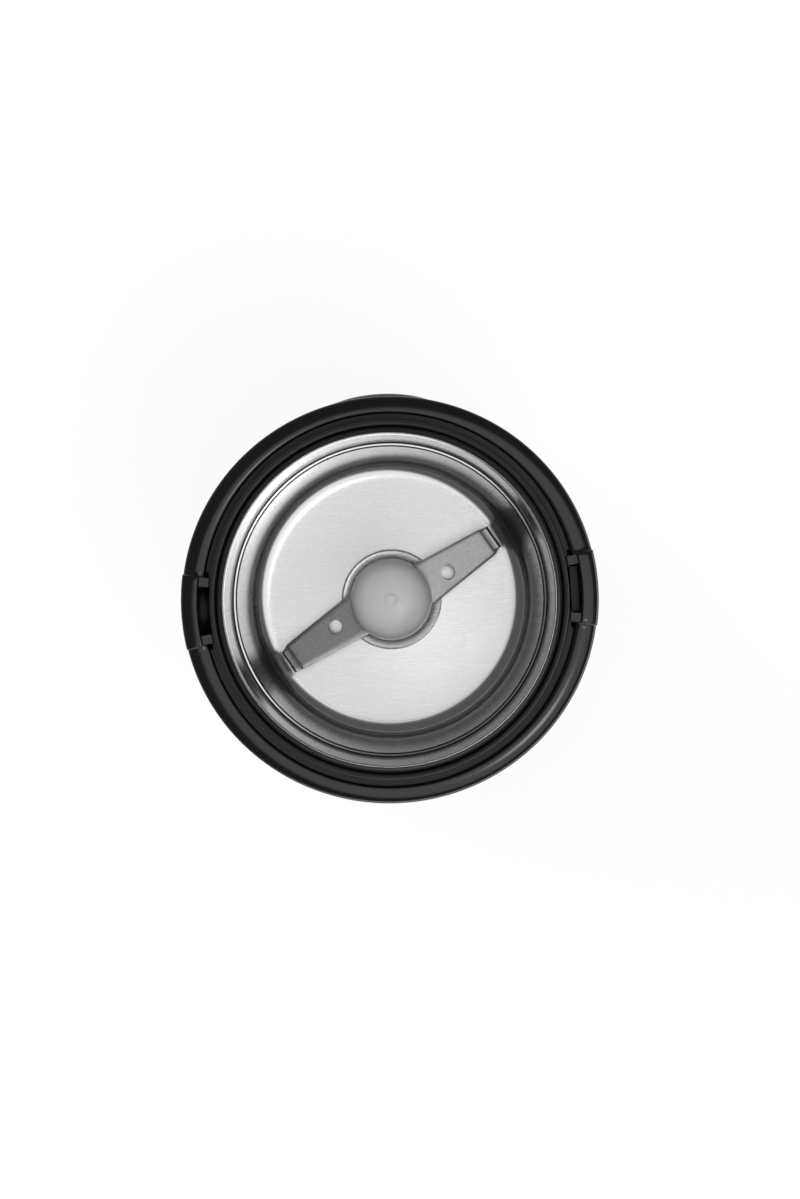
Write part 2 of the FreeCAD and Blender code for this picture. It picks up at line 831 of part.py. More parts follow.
# Base cover with its air slots, screw wells and rubber feet.
base_cover = Piece("base_cover")
cover_radius = inner_low - 0.15
drawing = base_cover.sketch("XY_Plane", foot_height)
disc(drawing, cover_radius)
base_cover.pad(drawing, 6)
drawing = base_cover.sketch("XY_Plane", column_bottom)
disc(drawing, cover_radius - 1.6)
base_cover.pocket(drawing, 10, up=True)
drawing = base_cover.sketch("XY_Plane", foot_height)
four(drawing, 1.4, column_x, column_y)
four(drawing, 2.6, foot_x, foot_y)
base_cover.pocket(drawing, 5, up=True)
drawing = base_cover.sketch("XY_Plane", foot_height)
four(drawing, 3.3, column_x, column_y)
base_cover.pocket(drawing, 1.4, up=True)
drawing = base_cover.sketch("XY_Plane", foot_height)
box(drawing, 14, cover_radius - 16.65, -1.3, 1.3)
slot = base_cover.pocket(drawing, 5, up=True)
base_cover.around([slot], 12)

rubber_feet = Piece("rubber_feet")
drawing = rubber_feet.sketch("XY_Plane")
four(drawing, foot_radius, foot_x, foot_y)
rubber_feet.pad(drawing, foot_height)
drawing = rubber_feet.sketch("XY_Plane", foot_height)
four(drawing, 2.6, foot_x, foot_y)
rubber_feet.pad(drawing, 2.5)
drawing = rubber_feet.sketch("XY_Plane", column_bottom)
four(drawing, 3.6, foot_x, foot_y)
rubber_feet.pad(drawing, 1)

base_screws = Piece("base_screws")
drawing = base_screws.sketch("XY_Plane", foot_height + 0.2)
four(drawing, 3, column_x, column_y)
base_screws.pad(drawing, 1.2)
drawing = base_screws.sketch("XY_Plane", foot_height + 1.4)
four(drawing, 1.25, column_x, column_y)
base_screws.pad(drawing, 12)

# The cord's gland is oval, so that it can't turn in the wall.
cord_grommet = Piece("cord_grommet")
gland_back = inner_low - 2
gland_neck = inner_low - 0.6
gland_front = body_radius - 0.3
gland_steps = [
    (gland_back, gland_neck, 3),
    (gland_neck - 0.1, gland_front + 0.1, 0),
    (gland_front, gland_front + 2.5, 3.4),
]
for near, far, wider in gland_steps:
    drawing = cord_grommet.sketch("XZ_Plane", -near)
    oval(drawing, inlet_width + wider, inlet_height + wider, 0, cord_level)
    cord_grommet.pad(drawing, far - near, down=True)
gland_end = (gland_front + 2.5).value
cord_grommet.round(lambda edge: edge.BoundBox.YMin > gland_end - 1e-3, 0.9)
drawing = cord_grommet.sketch("XZ_Plane", 2 - gland_back)
disc(drawing, cord_bore, 0, cord_level)
cord_grommet.pocket(drawing, 20)

suppression_capacitor = Piece("suppression_capacitor")
drawing = suppression_capacitor.sketch("XY_Plane", column_bottom)
box(drawing, -13, 13, inner_low - 15.8, inner_low - 6.8)
suppression_capacitor.pad(drawing, 14)

# The motor: a laminated stator with two wound poles.
stack_top = stack_bottom + stack_height
stator_core = Piece("stator_core")
half_x = stator_width / 2
half_y = stator_depth / 2
corner_cut = size("corner_cut", 8)
drawing = stator_core.sketch("XY_Plane", stack_bottom)
loop(drawing, [
    (half_x, corner_cut - half_y),
    (half_x, half_y - corner_cut),
    (half_x - corner_cut, half_y),
    (corner_cut - half_x, half_y),
    (-half_x, half_y - corner_cut),
    (-half_x, corner_cut - half_y),
    (corner_cut - half_x, -half_y),
    (half_x - corner_cut, -half_y),
])
stator_core.pad(drawing, stack_height)
drawing = stator_core.sketch("XY_Plane", stack_bottom)
box(drawing, 6 - half_x, half_x - 6, 5 - half_y, half_y - 5)
disc(drawing, 1.8, half_x - 3, 0)
disc(drawing, 1.8, 3 - half_x, 0)
stator_core.pocket(drawing, stack_height, up=True)
pole_bore = armature_radius + 0.5
pole_back = pole_bore + 2
pole_angle = size("pole_angle", 35)
neck_half = size("neck_half", 8)
neck_foot = root(pole_back * pole_back - neck_half * neck_half)
pole_corners = [
    (pole_bore * cosine(pole_angle), pole_bore * sine(pole_angle)),
    (-pole_bore * cosine(pole_angle), pole_bore * sine(pole_angle)),
    (-pole_back * cosine(pole_angle), pole_back * sine(pole_angle)),
    (-neck_half, neck_foot),
    (-neck_half, half_y - 4.5),
    (neck_half, half_y - 4.5),
    (neck_half, neck_foot),
    (pole_back * cosine(pole_angle), pole_back * sine(pole_angle)),
]
drawing = stator_core.sketch("XY_Plane", stack_bottom)
loop(drawing, pole_corners, {0: pole_bore, 2: -pole_back, 6: -pole_back})
pole = stator_core.pad(drawing, stack_height)
stator_core.around([pole], 2)

coil_outer = half_x - 6.6
coil_back = half_y - 5.3
coil_low = (pole_back + 0.44) * sine(pole_angle - 3.6)
coil_inner = neck_half + 0.3
coil_foot = root((pole_back + 2.13) * (pole_back + 2.13) - coil_inner * coil_inner)
for name, half_turn in (("field_coil_rear", 0), ("field_coil_front", 180)):
    coil = Piece(name)
    drawing = coil.sketch("XY_Plane", stack_bottom - 2)
    loop(drawing, [
        (coil_inner, coil_foot),
        ((pole_back + 1.64) * cosine(pole_angle + 11.7), (pole_back + 1.64) * sine(pole_angle + 11.7)),
        ((pole_back + 0.44) * cosine(pole_angle - 3.6), coil_low),
        (coil_outer, coil_low),
        (coil_outer, coil_back - 2.4),
        (coil_outer - 2.4, coil_back),
        (coil_inner, coil_back),
    ])
    leg = coil.pad(drawing, stack_height + 4)
    coil.mirror([leg], "YZ_Plane")
    for height in (stack_bottom - 5.5, stack_top + 2):
        drawing = coil.sketch("XY_Plane", height)
        loop(drawing, [
            (2.4 - coil_outer, coil_back),
            (-coil_outer, coil_back - 2.4),
            (-coil_outer, armature_radius - 0.6),
            (coil_outer, armature_radius - 0.6),
            (coil_outer, coil_back - 2.4),
            (coil_outer - 2.4, coil_back),
        ])
        coil.pad(drawing, 3.5)
    coil.turn_about_z(half_turn)

# Brackets above and below the stator carry the ball bearings.
bearing_outer = size("bearing_outer", 9.5)
bearing_height = size("bearing_height", 6)
bearing_bore = shaft_radius + running_fit
upper_bracket = Piece("upper_bracket")
drawing = upper_bracket.sketch("XY_Plane", upper_plate)
loop(drawing, [
    (-half_x, 12 - half_y), (6 - half_x, 6 - half_y), (half_x - 6, 6 - half_y),
    (half_x, 12 - half_y), (half_x, half_y - 12), (half_x - 6, half_y - 6),
    (6 - half_x, half_y - 6), (-half_x, half_y - 12),
])
upper_bracket.pad(drawing, plate_sheet)
drawing = upper_bracket.sketch("XY_Plane", stack_top)
box(drawing, half_x - 5.8, half_x, -6, 6)
box(drawing, -half_x, 5.8 - half_x, -6, 6)
upper_bracket.pad(drawing, upper_plate - stack_top + 0.5)
drawing = upper_bracket.sketch("XY_Plane", upper_plate + 1)
disc(drawing, bearing_outer + 2)
upper_bracket.pad(drawing, bearing_height + 0.8)
drawing = upper_bracket.sketch("XY_Plane", upper_plate)
disc(drawing, bearing_outer)
upper_bracket.pocket(drawing, bearing_height, up=True)
drawing = upper_bracket.sketch("XY_Plane", stack_top)
disc(drawing, shaft_radius + 1.4)
four(drawing, 1.7, post_x, post_y)
disc(drawing, 1.8, half_x - 3, 0)
disc(drawing, 1.8, 3 - half_x, 0)
upper_bracket.pocket(drawing, 40, up=True)

arm_half = half_y + 1
lower_bracket = Piece("lower_bracket")
drawing = lower_bracket.sketch("XY_Plane", lower_plate)
loop(drawing, [
    (-half_x, -8), (-8, -8), (-8, -arm_half), (8, -arm_half), (8, -8), (half_x, -8),
    (half_x, 8), (8, 8), (8, arm_half), (-8, arm_half), (-8, 8), (-half_x, 8),
])
lower_bracket.pad(drawing, plate_sheet)
drawing = lower_bracket.sketch("XY_Plane", lower_plate + plate_sheet - 0.5)
box(drawing, half_x - 5.8, half_x, -6, 6)
box(drawing, -half_x, 5.8 - half_x, -6, 6)
lower_bracket.pad(drawing, stack_bottom - lower_plate - plate_sheet + 0.5)
bearing_seat = lower_plate + plate_sheet - bearing_height
drawing = lower_bracket.sketch("XY_Plane", bearing_seat - 1.3)
disc(drawing, bearing_outer + 2)
lower_bracket.pad(drawing, bearing_height)
drawing = lower_bracket.sketch("XY_Plane", bearing_seat)
disc(drawing, bearing_outer)
lower_bracket.pocket(drawing, 12, up=True)
drawing = lower_bracket.sketch("XY_Plane", bearing_seat - 3.5)
disc(drawing, shaft_radius + 1)
disc(drawing, 1.8, half_x - 3, 0)
disc(drawing, 1.8, 3 - half_x, 0)
lower_bracket.pocket(drawing, 40, up=True)

for name, low in (("upper_bearing", upper_plate), ("lower_bearing", bearing_seat)):
    bearing = Piece(name)
    bearing.turned([
        (bearing_bore, low),
        (bearing_outer, low),
        (bearing_outer, low + bearing_height),
        (bearing_bore, low + bearing_height),
    ])

motor_bolts = Piece("motor_bolts")
drawing = motor_bolts.sketch("XY_Plane", lower_plate)
disc(drawing, 3.2, half_x - 3, 0)
disc(drawing, 3.2, 3 - half_x, 0)
motor_bolts.pad(drawing, 2.4, down=True)
drawing = motor_bolts.sketch("XY_Plane", lower_plate)
disc(drawing, 1.7, half_x - 3, 0)
disc(drawing, 1.7, 3 - half_x, 0)
motor_bolts.pad(drawing, upper_plate + plate_sheet + 3 - lower_plate)

motor_nuts = Piece("motor_nuts")
drawing = motor_nuts.sketch("XY_Plane", upper_plate + plate_sheet)
for side in (1, -1):
    disc(drawing, 3, side * (half_x - 3), 0)
    disc(drawing, 1.7, side * (half_x - 3), 0)
motor_nuts.pad(drawing, 2.4)

motor_dampers = Piece("motor_dampers")
drawing = motor_dampers.sketch("XY_Plane", upper_plate + plate_sheet)
four(drawing, 4.9, post_x, post_y)
four(drawing, 1.7, post_x, post_y)
motor_dampers.pad(drawing, post_bottom - upper_plate - plate_sheet)

motor_screws = Piece("motor_screws")
drawing = motor_screws.sketch("XY_Plane", upper_plate - 2)
four(drawing, 3, post_x, post_y)
motor_screws.pad(drawing, 2)
drawing = motor_screws.sketch("XY_Plane", upper_plate)
four(drawing, 1.5, post_x, post_y)
motor_screws.pad(drawing, post_bottom + 4 - upper_plate)

# Brushes press on the commutator from the front and the rear.
bar_low = size("bar_low", stack_bottom - 17)
window_near = commutator_radius - 0.5
for name, half_turn in (("rear", 0), ("front", 180)):
    holder = Piece("brush_holder_" + name)
    drawing = holder.sketch("XY_Plane", bar_low + 2)
    box(drawing, -4.5, 4.5, commutator_radius + 1.4, half_y)
    holder.pad(drawing, 8)
    drawing = holder.sketch("XY_Plane", lower_plate + plate_sheet)
    box(drawing, -4.5, 4.5, half_y - 9, half_y)
    holder.pad(drawing, bar_low + 2.5 - lower_plate - plate_sheet)
    drawing = holder.sketch("XZ_Plane", -window_near)
    box(drawing, -3.2, 3.2, bar_low + 3.5, bar_low + 8.5)
    holder.pocket(drawing, half_y - 1.5 - window_near)
    holder.turn_about_z(half_turn)
    brush = Piece("carbon_brush_" + name)
    drawing = brush.sketch("XY_Plane", bar_low + 3.55)
    box(drawing, -3.15, 3.15, commutator_radius - 2, half_y - 6)
    brush.pad(drawing, 4.9)
    drawing = brush.sketch("XY_Plane", bar_low + 1)
    disc(drawing, commutator_radius + 0.06)
    brush.pocket(drawing, 12, up=True)
    brush.turn_about_z(half_turn)

# Everything that turns with the motor's shaft.
rotor_shaft = Piece("rotor_shaft")
shaft_thick = size("shaft_thick", 4)
rotor_shaft.turned([
    (0, bearing_seat - 0.9),
    (shaft_radius, bearing_seat - 0.9),
    (shaft_radius, lower_plate + plate_sheet + 1.5),
    (shaft_thick, lower_plate + plate_sheet + 1.5),
    (shaft_thick, upper_plate - 1),
    (shaft_radius, upper_plate - 1),
    (shaft_radius, well_floor + 3),
    (0, well_floor + 3),
])

armature_core = Piece("armature_core")
drawing = armature_core.sketch("XY_Plane", stack_bottom)
disc(drawing, armature_radius)
disc(drawing, shaft_thick)
armature_core.pad(drawing, stack_height)
drawing = armature_core.sketch("XY_Plane", stack_bottom)
slot_foot = armature_radius * 9.5 / 15.1
slot_half = armature_radius * 1.3 / 15.1
box(drawing, slot_foot, armature_radius + 2, -slot_half, slot_half)
slot = armature_core.pocket(drawing, stack_height, up=True)
armature_core.around([slot], armature_slots)

armature_winding = Piece("armature_winding")
drawing = armature_winding.sketch("XZ_Plane")
loop(drawing, [
    (4.6, stack_top), (armature_radius - 2.3, stack_top), (armature_radius - 1.9, stack_top + 2),
    (armature_radius - 3.6, stack_top + 5.5), (6, stack_top + 5.5), (4.6, stack_top + 3.5),
])
loop(drawing, [
    (4.6, stack_bottom - 3), (6, stack_bottom - 4), (armature_radius - 3.6, stack_bottom - 4),
    (armature_radius - 1.9, stack_bottom - 2), (armature_radius - 2.3, stack_bottom),
    (4.6, stack_bottom),
])
armature_winding.turn(drawing)
drawing = armature_winding.sketch("XY_Plane", stack_bottom - 0.5)
box(drawing, slot_foot + 0.2, slot_foot + 3.1, 0.1 - slot_half, slot_half - 0.1)
bar = armature_winding.pad(drawing, stack_height + 1)
armature_winding.around([bar], armature_slots)

commutator = Piece("commutator")
commutator.turned([
    (shaft_thick, bar_low),
    (commutator_radius, bar_low),
    (commutator_radius, bar_low + 10),
    (commutator_radius + 1, bar_low + 10),
    (commutator_radius + 1, bar_low + 12),
    (shaft_thick, bar_low + 12),
])
drawing = commutator.sketch("XY_Plane", bar_low)
box(drawing, commutator_radius - 0.8, commutator_radius + 3, -0.25, 0.25)
slot = commutator.pocket(drawing, 13, up=True)
commutator.around([slot], armature_slots)

cooling_fan = Piece("cooling_fan")
fan_low = size("fan_low", upper_plate - 8.5)
cooling_fan.turned([
    (shaft_thick, fan_low),
    (fan_radius, fan_low),
    (fan_radius, fan_low + 1.4),
    (6.5, fan_low + 1.4),
    (6.5, fan_low + 6.5),
    (shaft_thick, fan_low + 6.5),
])
drawing = cooling_fan.sketch("XY_Plane", fan_low + 1)
box(drawing, 6, fan_radius - 0.5, -0.6, 0.6)
vane = cooling_fan.pad(drawing, 5.5)
cooling_fan.around([vane], 10)

doc.recompute()
pieces = [thing for thing in doc.Objects if thing.TypeId == "PartDesign::Body"]
for thing in doc.Objects:
    if "Invalid" in thing.State or "Error" in thing.State:
        raise RuntimeError(f"{thing.Label} could not be made: {thing.State}")
os.makedirs("parts", exist_ok=True)
for piece in pieces:
    shape = piece.Shape
    if shape.isNull() or not shape.isValid() or not shape.Solids:
        raise RuntimeError(f"{piece.Label} has no valid solid")
    shape.exportStep(f"parts/{piece.Label}.step")
print(f"{len(pieces)} parts written")
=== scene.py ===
import bmesh
import bpy
import numpy as np
from mathutils import Matrix, Vector


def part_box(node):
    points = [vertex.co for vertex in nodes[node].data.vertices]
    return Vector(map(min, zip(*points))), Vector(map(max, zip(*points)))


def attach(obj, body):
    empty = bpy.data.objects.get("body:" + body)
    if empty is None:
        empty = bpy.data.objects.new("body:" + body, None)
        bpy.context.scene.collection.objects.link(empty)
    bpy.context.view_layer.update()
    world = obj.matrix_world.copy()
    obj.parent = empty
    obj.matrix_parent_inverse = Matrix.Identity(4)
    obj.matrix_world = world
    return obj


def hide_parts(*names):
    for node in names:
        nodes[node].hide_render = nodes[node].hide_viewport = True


# Electric spice grinder seen from above with its lid off: a glossy black body,
# a lift-out steel bowl edged with a black collar, and a blade with upturned ends.
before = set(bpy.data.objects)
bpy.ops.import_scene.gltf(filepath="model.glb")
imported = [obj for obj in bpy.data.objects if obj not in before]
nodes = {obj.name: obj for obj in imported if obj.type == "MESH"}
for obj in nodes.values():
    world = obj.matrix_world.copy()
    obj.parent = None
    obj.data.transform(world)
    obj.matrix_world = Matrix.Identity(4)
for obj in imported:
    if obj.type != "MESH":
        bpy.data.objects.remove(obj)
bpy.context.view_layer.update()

# Base cover. Injection-moulded ABS, satin from a spark-eroded tool, held by
# four screws from below. It keeps its solid; only the moulded skin is added.


def linear(code):
    """sRGB hex to linear light: each channel goes through the sRGB curve."""
    channel = np.array([int(code[k:k + 2], 16) for k in (1, 3, 5)]) / 255
    light = np.where(channel <= 0.04045, channel / 12.92, ((channel + 0.055) / 1.055) ** 2.4)
    return (*light.tolist(), 1.0)


def add(tree, kind, values=None, links=None, **settings):
    """Adds one node with its settings, its socket values and its links."""
    node = tree.nodes.new(kind)
    for name, value in settings.items():
        setattr(node, name, value)
    for socket, value in (values or {}).items():
        node.inputs[socket].default_value = value
    for socket, source in (links or {}).items():
        tree.links.new(source, node.inputs[socket])
    return node


def new_material(name):
    """A material with an empty node tree, and the tree."""
    made = bpy.data.materials.new(name)
    made.use_nodes = True
    made.node_tree.nodes.clear()
    return made, made.node_tree


def dress(node, finish):
    """Puts a finish on every slot of a CAD node's object."""
    for place in nodes[node].material_slots:
        place.material = finish


# Satin black ABS: a grain about 0.25 mm across, deep enough to break up every
# reflection, so the plastic looks dark grey where light grazes it.
satin_abs, tree = new_material("satin_black_abs_moulded")
place = add(tree, "ShaderNodeTexCoord")
grain = add(tree, "ShaderNodeTexNoise", {"Scale": 4000.0, "Detail": 3.0, "Roughness": 0.6},
            {"Vector": place.outputs["Object"]})
cloud = add(tree, "ShaderNodeTexNoise", {"Scale": 90.0, "Detail": 3.0},
            {"Vector": place.outputs["Object"]})
tint = add(tree, "ShaderNodeMix", {"A": linear("#0e0e0f"), "B": linear("#171718")},
           {"Factor": cloud.outputs["Fac"]}, data_type="RGBA")
rough = add(tree, "ShaderNodeMapRange", {"To Min": 0.34, "To Max": 0.46},
            {"Value": cloud.outputs["Fac"]})
bump = add(tree, "ShaderNodeBump", {"Strength": 0.25, "Distance": 0.00003},
           {"Height": grain.outputs["Fac"]})
skin = add(tree, "ShaderNodeBsdfPrincipled", {"IOR": 1.53, "Specular IOR Level": 0.3},
           {"Base Color": tint.outputs["Result"], "Roughness": rough.outputs["Result"],
            "Normal": bump.outputs["Normal"]})
add(tree, "ShaderNodeOutputMaterial", links={"Surface": skin.outputs["BSDF"]})
dress("base_cover", satin_abs)

# Rubber feet. Four soft plugs pushed up through the cover, matt black, with a
# rounded tread edge and a shallow cup in the tread that grips the worktop.


def outline(corners, steps=6):
    """A profile in metres from (radius, height, rounding) corners in mm.

    A rounded corner becomes the arc that touches both of its sides: the arc
    starts rounding / tan(half the corner's angle) before the corner.
    """
    corners = np.array(corners, float)
    here, sweep = corners[:, :2], np.linspace(0, 1, steps)[:, None]
    back = np.roll(here, 1, axis=0) - here
    on = np.roll(here, -1, axis=0) - here
    back /= np.linalg.norm(back, axis=1)[:, None]
    on /= np.linalg.norm(on, axis=1)[:, None]
    runs = []
    for spot, a, b, radius in zip(here, back, on, corners[:, 2]):
        if radius == 0:
            runs.append(spot[None])
            continue
        half = np.arccos(np.clip(a @ b, -1, 1)) / 2
        centre = spot + (a + b) / np.linalg.norm(a + b) * radius / np.sin(half)
        first = spot + a * radius / np.tan(half) - centre
        last = spot + b * radius / np.tan(half) - centre
        wide = np.pi - 2 * half
        arc = np.sin((1 - sweep) * wide) * first + np.sin(sweep * wide) * last
        runs.append(centre + arc / np.sin(wide))
    return np.concatenate(runs) / 1000


def grid_piece(name, points, wrap=(False, False), keep=None, crease=32):
    """Quads over a grid of points, shape (rows, columns, 3).

    A wrapped direction joins its last line to its first. Points that meet are
    merged, and edges bent by more than crease degrees stay sharp.
    """
    rows, columns = points.shape[:2]
    i, j = np.meshgrid(np.arange(rows - (not wrap[0])), np.arange(columns - (not wrap[1])),
                       indexing="ij")
    if keep is not None:
        i, j = i[keep], j[keep]
    i, j = i.ravel(), j.ravel()
    k, l = (i + 1) % rows, (j + 1) % columns
    quads = np.stack([i * columns + j, k * columns + j, k * columns + l, i * columns + l], axis=1)
    mesh = bpy.data.meshes.new(name)
    mesh.from_pydata(points.reshape(-1, 3).tolist(), [], quads.tolist())
    piece = bpy.data.objects.new(name, mesh)
    bpy.context.scene.collection.objects.link(piece)
    tidy(mesh, crease, wrap[0] and wrap[1])
    return piece


def tidy(mesh, crease, closed):
    """Merges points that meet, turns a closed shell outwards, smooths its faces."""
    work = bmesh.new()
    work.from_mesh(mesh)
    bmesh.ops.remove_doubles(work, verts=work.verts, dist=2e-7)
    bmesh.ops.dissolve_degenerate(work, edges=work.edges, dist=1e-7)
    loose = [spot for spot in work.verts if not spot.link_faces]
    bmesh.ops.delete(work, geom=loose, context="VERTS")
    if closed:
        bmesh.ops.recalc_face_normals(work, faces=work.faces)
    work.to_mesh(mesh)
    work.free()
    mesh.shade_smooth()
    mesh.set_sharp_from_angle(angle=np.radians(crease))


def lathe(name, profile, turns=160, at=(0.0, 0.0), crease=32):
    """A closed profile turned about an upright axis: (r cos a, r sin a, z)."""
    angle = np.linspace(0, 2 * np.pi, turns, endpoint=False)[:, None]
    radius, height = profile[None, :, 0], profile[None, :, 1]
    points = np.stack([at[0] + radius * np.cos(angle), at[1] + radius * np.sin(angle),
                       np.broadcast_to(height, (turns, profile.shape[0]))], axis=2)
    return grid_piece(name, points, (True, True), crease=crease)


# Black nitrile rubber, compression moulded: matt, with a faint bloom in soft
# patches about 4 mm wide.
soft_rubber, tree = new_material("black_nitrile_rubber")
place = add(tree, "ShaderNodeTexCoord")
bloom = add(tree, "ShaderNodeTexNoise", {"Scale": 250.0, "Detail": 4.0},
            {"Vector": place.outputs["Object"]})
tint = add(tree, "ShaderNodeMix", {"A": linear("#131313"), "B": linear("#232322")},
           {"Factor": bloom.outputs["Fac"]}, data_type="RGBA")
rough = add(tree, "ShaderNodeMapRange", {"To Min": 0.62, "To Max": 0.8},
            {"Value": bloom.outputs["Fac"]})
bump = add(tree, "ShaderNodeBump", {"Strength": 0.3, "Distance": 0.00004},
           {"Height": bloom.outputs["Fac"]})
skin = add(tree, "ShaderNodeBsdfPrincipled", {"IOR": 1.52},
           {"Base Color": tint.outputs["Result"], "Roughness": rough.outputs["Result"],
            "Normal": bump.outputs["Normal"]})
add(tree, "ShaderNodeOutputMaterial", links={"Surface": skin.outputs["BSDF"]})

foot_radius = 6.0
tread = outline([(0, 0.5, 0), (3.4, 0.5, 0.3), (4.1, 0, 0.3), (foot_radius, 0, 0.7),
                 (foot_radius, 3, 0.25), (2.6, 3, 0), (2.6, 5.5, 0), (3.6, 5.5, 0.3),
                 (3.6, 6.5, 0.3), (0, 6.5, 0)])
feet_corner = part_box("rubber_feet")[1]
for k, (side, end) in enumerate([(1, 1), (1, -1), (-1, 1), (-1, -1)]):
    spot = (side * (feet_corner.x - foot_radius / 1000),
            end * (feet_corner.y - foot_radius / 1000))
    foot = lathe(f"foot_{k + 1}", tread, turns=48, at=spot)
    foot.data.materials.append(soft_rubber)
    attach(foot, "body")
    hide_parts("rubber_feet")

# Screws of the base cover and of the motor. Zinc-plated steel, bright and a
# little blue, with the mottle that a plating bath leaves.
zinc_steel, tree = new_material("zinc_plated_steel")
place = add(tree, "ShaderNodeTexCoord")
mottle = add(tree, "ShaderNodeTexNoise", {"Scale": 1200.0, "Detail": 4.0},
             {"Vector": place.outputs["Object"]})
tint = add(tree, "ShaderNodeMix", {"A": linear("#b4b7bb"), "B": linear("#d2d4d6")},
           {"Factor": mottle.outputs["Fac"]}, data_type="RGBA")
rough = add(tree, "ShaderNodeMapRange", {"To Min": 0.22, "To Max": 0.4},
            {"Value": mottle.outputs["Fac"]})
skin = add(tree, "ShaderNodeBsdfPrincipled", {"Metallic": 1.0},
           {"Base Color": tint.outputs["Result"], "Roughness": rough.outputs["Result"]})
add(tree, "ShaderNodeOutputMaterial", links={"Surface": skin.outputs["BSDF"]})
for node in ("base_screws", "motor_screws", "motor_bolts", "motor_nuts", "thrust_washer"):
    dress(node, zinc_steel)

# Motor brackets. Die-cast aluminium, left as cast: pale grey with a fine
# sandy skin. They hold the bearings and clamp the stator between them.

# Cast aluminium: sand-like grain about 0.5 mm across, and slow grey clouds
# where the metal chilled at different speeds.
cast_aluminium, tree = new_material("die_cast_aluminium")
place = add(tree, "ShaderNodeTexCoord")
sand = add(tree, "ShaderNodeTexNoise", {"Scale": 2000.0, "Detail": 3.0},
           {"Vector": place.outputs["Object"]})
chill = add(tree, "ShaderNodeTexNoise", {"Scale": 120.0, "Detail": 2.0},
            {"Vector": place.outputs["Object"]})
tint = add(tree, "ShaderNodeMix", {"A": linear("#a9aaac"), "B": linear("#c6c7c8")},
           {"Factor": chill.outputs["Fac"]}, data_type="RGBA")
bump = add(tree, "ShaderNodeBump", {"Strength": 0.5, "Distance": 0.00006},
           {"Height": sand.outputs["Fac"]})
skin = add(tree, "ShaderNodeBsdfPrincipled", {"Metallic": 1.0, "Roughness": 0.48},
           {"Base Color": tint.outputs["Result"], "Normal": bump.outputs["Normal"]})
add(tree, "ShaderNodeOutputMaterial", links={"Surface": skin.outputs["BSDF"]})
for node in ("upper_bracket", "lower_bracket"):
    dress(node, cast_aluminium)

# Shafts and ball bearings. Bearing steel, turned and ground, so it is nearly
# a mirror with fine rings round its axis. The races press into the brackets.
ground_steel, tree = new_material("ground_bearing_steel")
place = add(tree, "ShaderNodeTexCoord")
rings = add(tree, "ShaderNodeTexWave", {"Scale": 700.0, "Distortion": 1.5, "Detail": 2.0},
            {"Vector": place.outputs["Object"]}, bands_direction="Z")
rough = add(tree, "ShaderNodeMapRange", {"To Min": 0.16, "To Max": 0.3},
            {"Value": rings.outputs["Fac"]})
bump = add(tree, "ShaderNodeBump", {"Strength": 0.2, "Distance": 0.00001},
           {"Height": rings.outputs["Fac"]})
skin = add(tree, "ShaderNodeBsdfPrincipled", {"Metallic": 1.0, "Base Color": linear("#c3c4c5")},
           {"Roughness": rough.outputs["Result"], "Normal": bump.outputs["Normal"]})
add(tree, "ShaderNodeOutputMaterial", links={"Surface": skin.outputs["BSDF"]})
for node in ("upper_bearing", "lower_bearing", "rotor_shaft", "blade_shaft"):
    dress(node, ground_steel)

# Stator and armature. Stacks of punched electrical steel, 0.5 mm a sheet,
# varnished: dark grey with a line at every sheet.
lamination, tree = new_material("varnished_lamination_stack")
place = add(tree, "ShaderNodeTexCoord")
# One line in 1 mm of height (a wave repeats every 0.1 pi / scale metres): a
# 0.5 mm sheet is too fine to show, so only every second sheet is drawn.
sheets = add(tree, "ShaderNodeTexWave", {"Scale": 100.0 * np.pi, "Distortion": 0.3},
             {"Vector": place.outputs["Object"]}, bands_direction="Z")
rust = add(tree, "ShaderNodeTexNoise", {"Scale": 300.0, "Detail": 4.0},
           {"Vector": place.outputs["Object"]})
tint = add(tree, "ShaderNodeMix", {"A": linear("#4a4a4d"), "B": linear("#77777a")},
           {"Factor": sheets.outputs["Fac"]}, data_type="RGBA")
stain = add(tree, "ShaderNodeMix", {"B": linear("#5c4d42")},
            {"Factor": rust.outputs["Fac"], "A": tint.outputs["Result"]}, data_type="RGBA")
bump = add(tree, "ShaderNodeBump", {"Strength": 0.6, "Distance": 0.00005},
           {"Height": sheets.outputs["Fac"]})
skin = add(tree, "ShaderNodeBsdfPrincipled", {"Metallic": 0.7, "Roughness": 0.45},
           {"Base Color": stain.outputs["Result"], "Normal": bump.outputs["Normal"]})
add(tree, "ShaderNodeOutputMaterial", links={"Surface": skin.outputs["BSDF"]})
for node in ("stator_core", "armature_core"):
    dress(node, lamination)

# Field coils and armature winding. Enamelled copper wire about 0.5 mm thick,
# wound in layers and dipped in varnish: amber red, with a line at each turn.
copper_wire, tree = new_material("enamelled_copper_winding")
place = add(tree, "ShaderNodeTexCoord")
turns = add(tree, "ShaderNodeTexWave", {"Scale": 200.0 * np.pi, "Distortion": 1.2, "Detail": 1.0},
            {"Vector": place.outputs["Object"]}, bands_direction="DIAGONAL")
tint = add(tree, "ShaderNodeMix", {"A": linear("#4e1f0c"), "B": linear("#b8602c")},
           {"Factor": turns.outputs["Fac"]}, data_type="RGBA")
bump = add(tree, "ShaderNodeBump", {"Strength": 0.8, "Distance": 0.0002},
           {"Height": turns.outputs["Fac"]})
skin = add(tree, "ShaderNodeBsdfPrincipled",
           {"Metallic": 0.8, "Roughness": 0.3, "Coat Weight": 0.6},
           {"Base Color": tint.outputs["Result"], "Normal": bump.outputs["Normal"]})
add(tree, "ShaderNodeOutputMaterial", links={"Surface": skin.outputs["BSDF"]})
for node in ("field_coil_front", "field_coil_rear", "armature_winding"):
    dress(node, copper_wire)

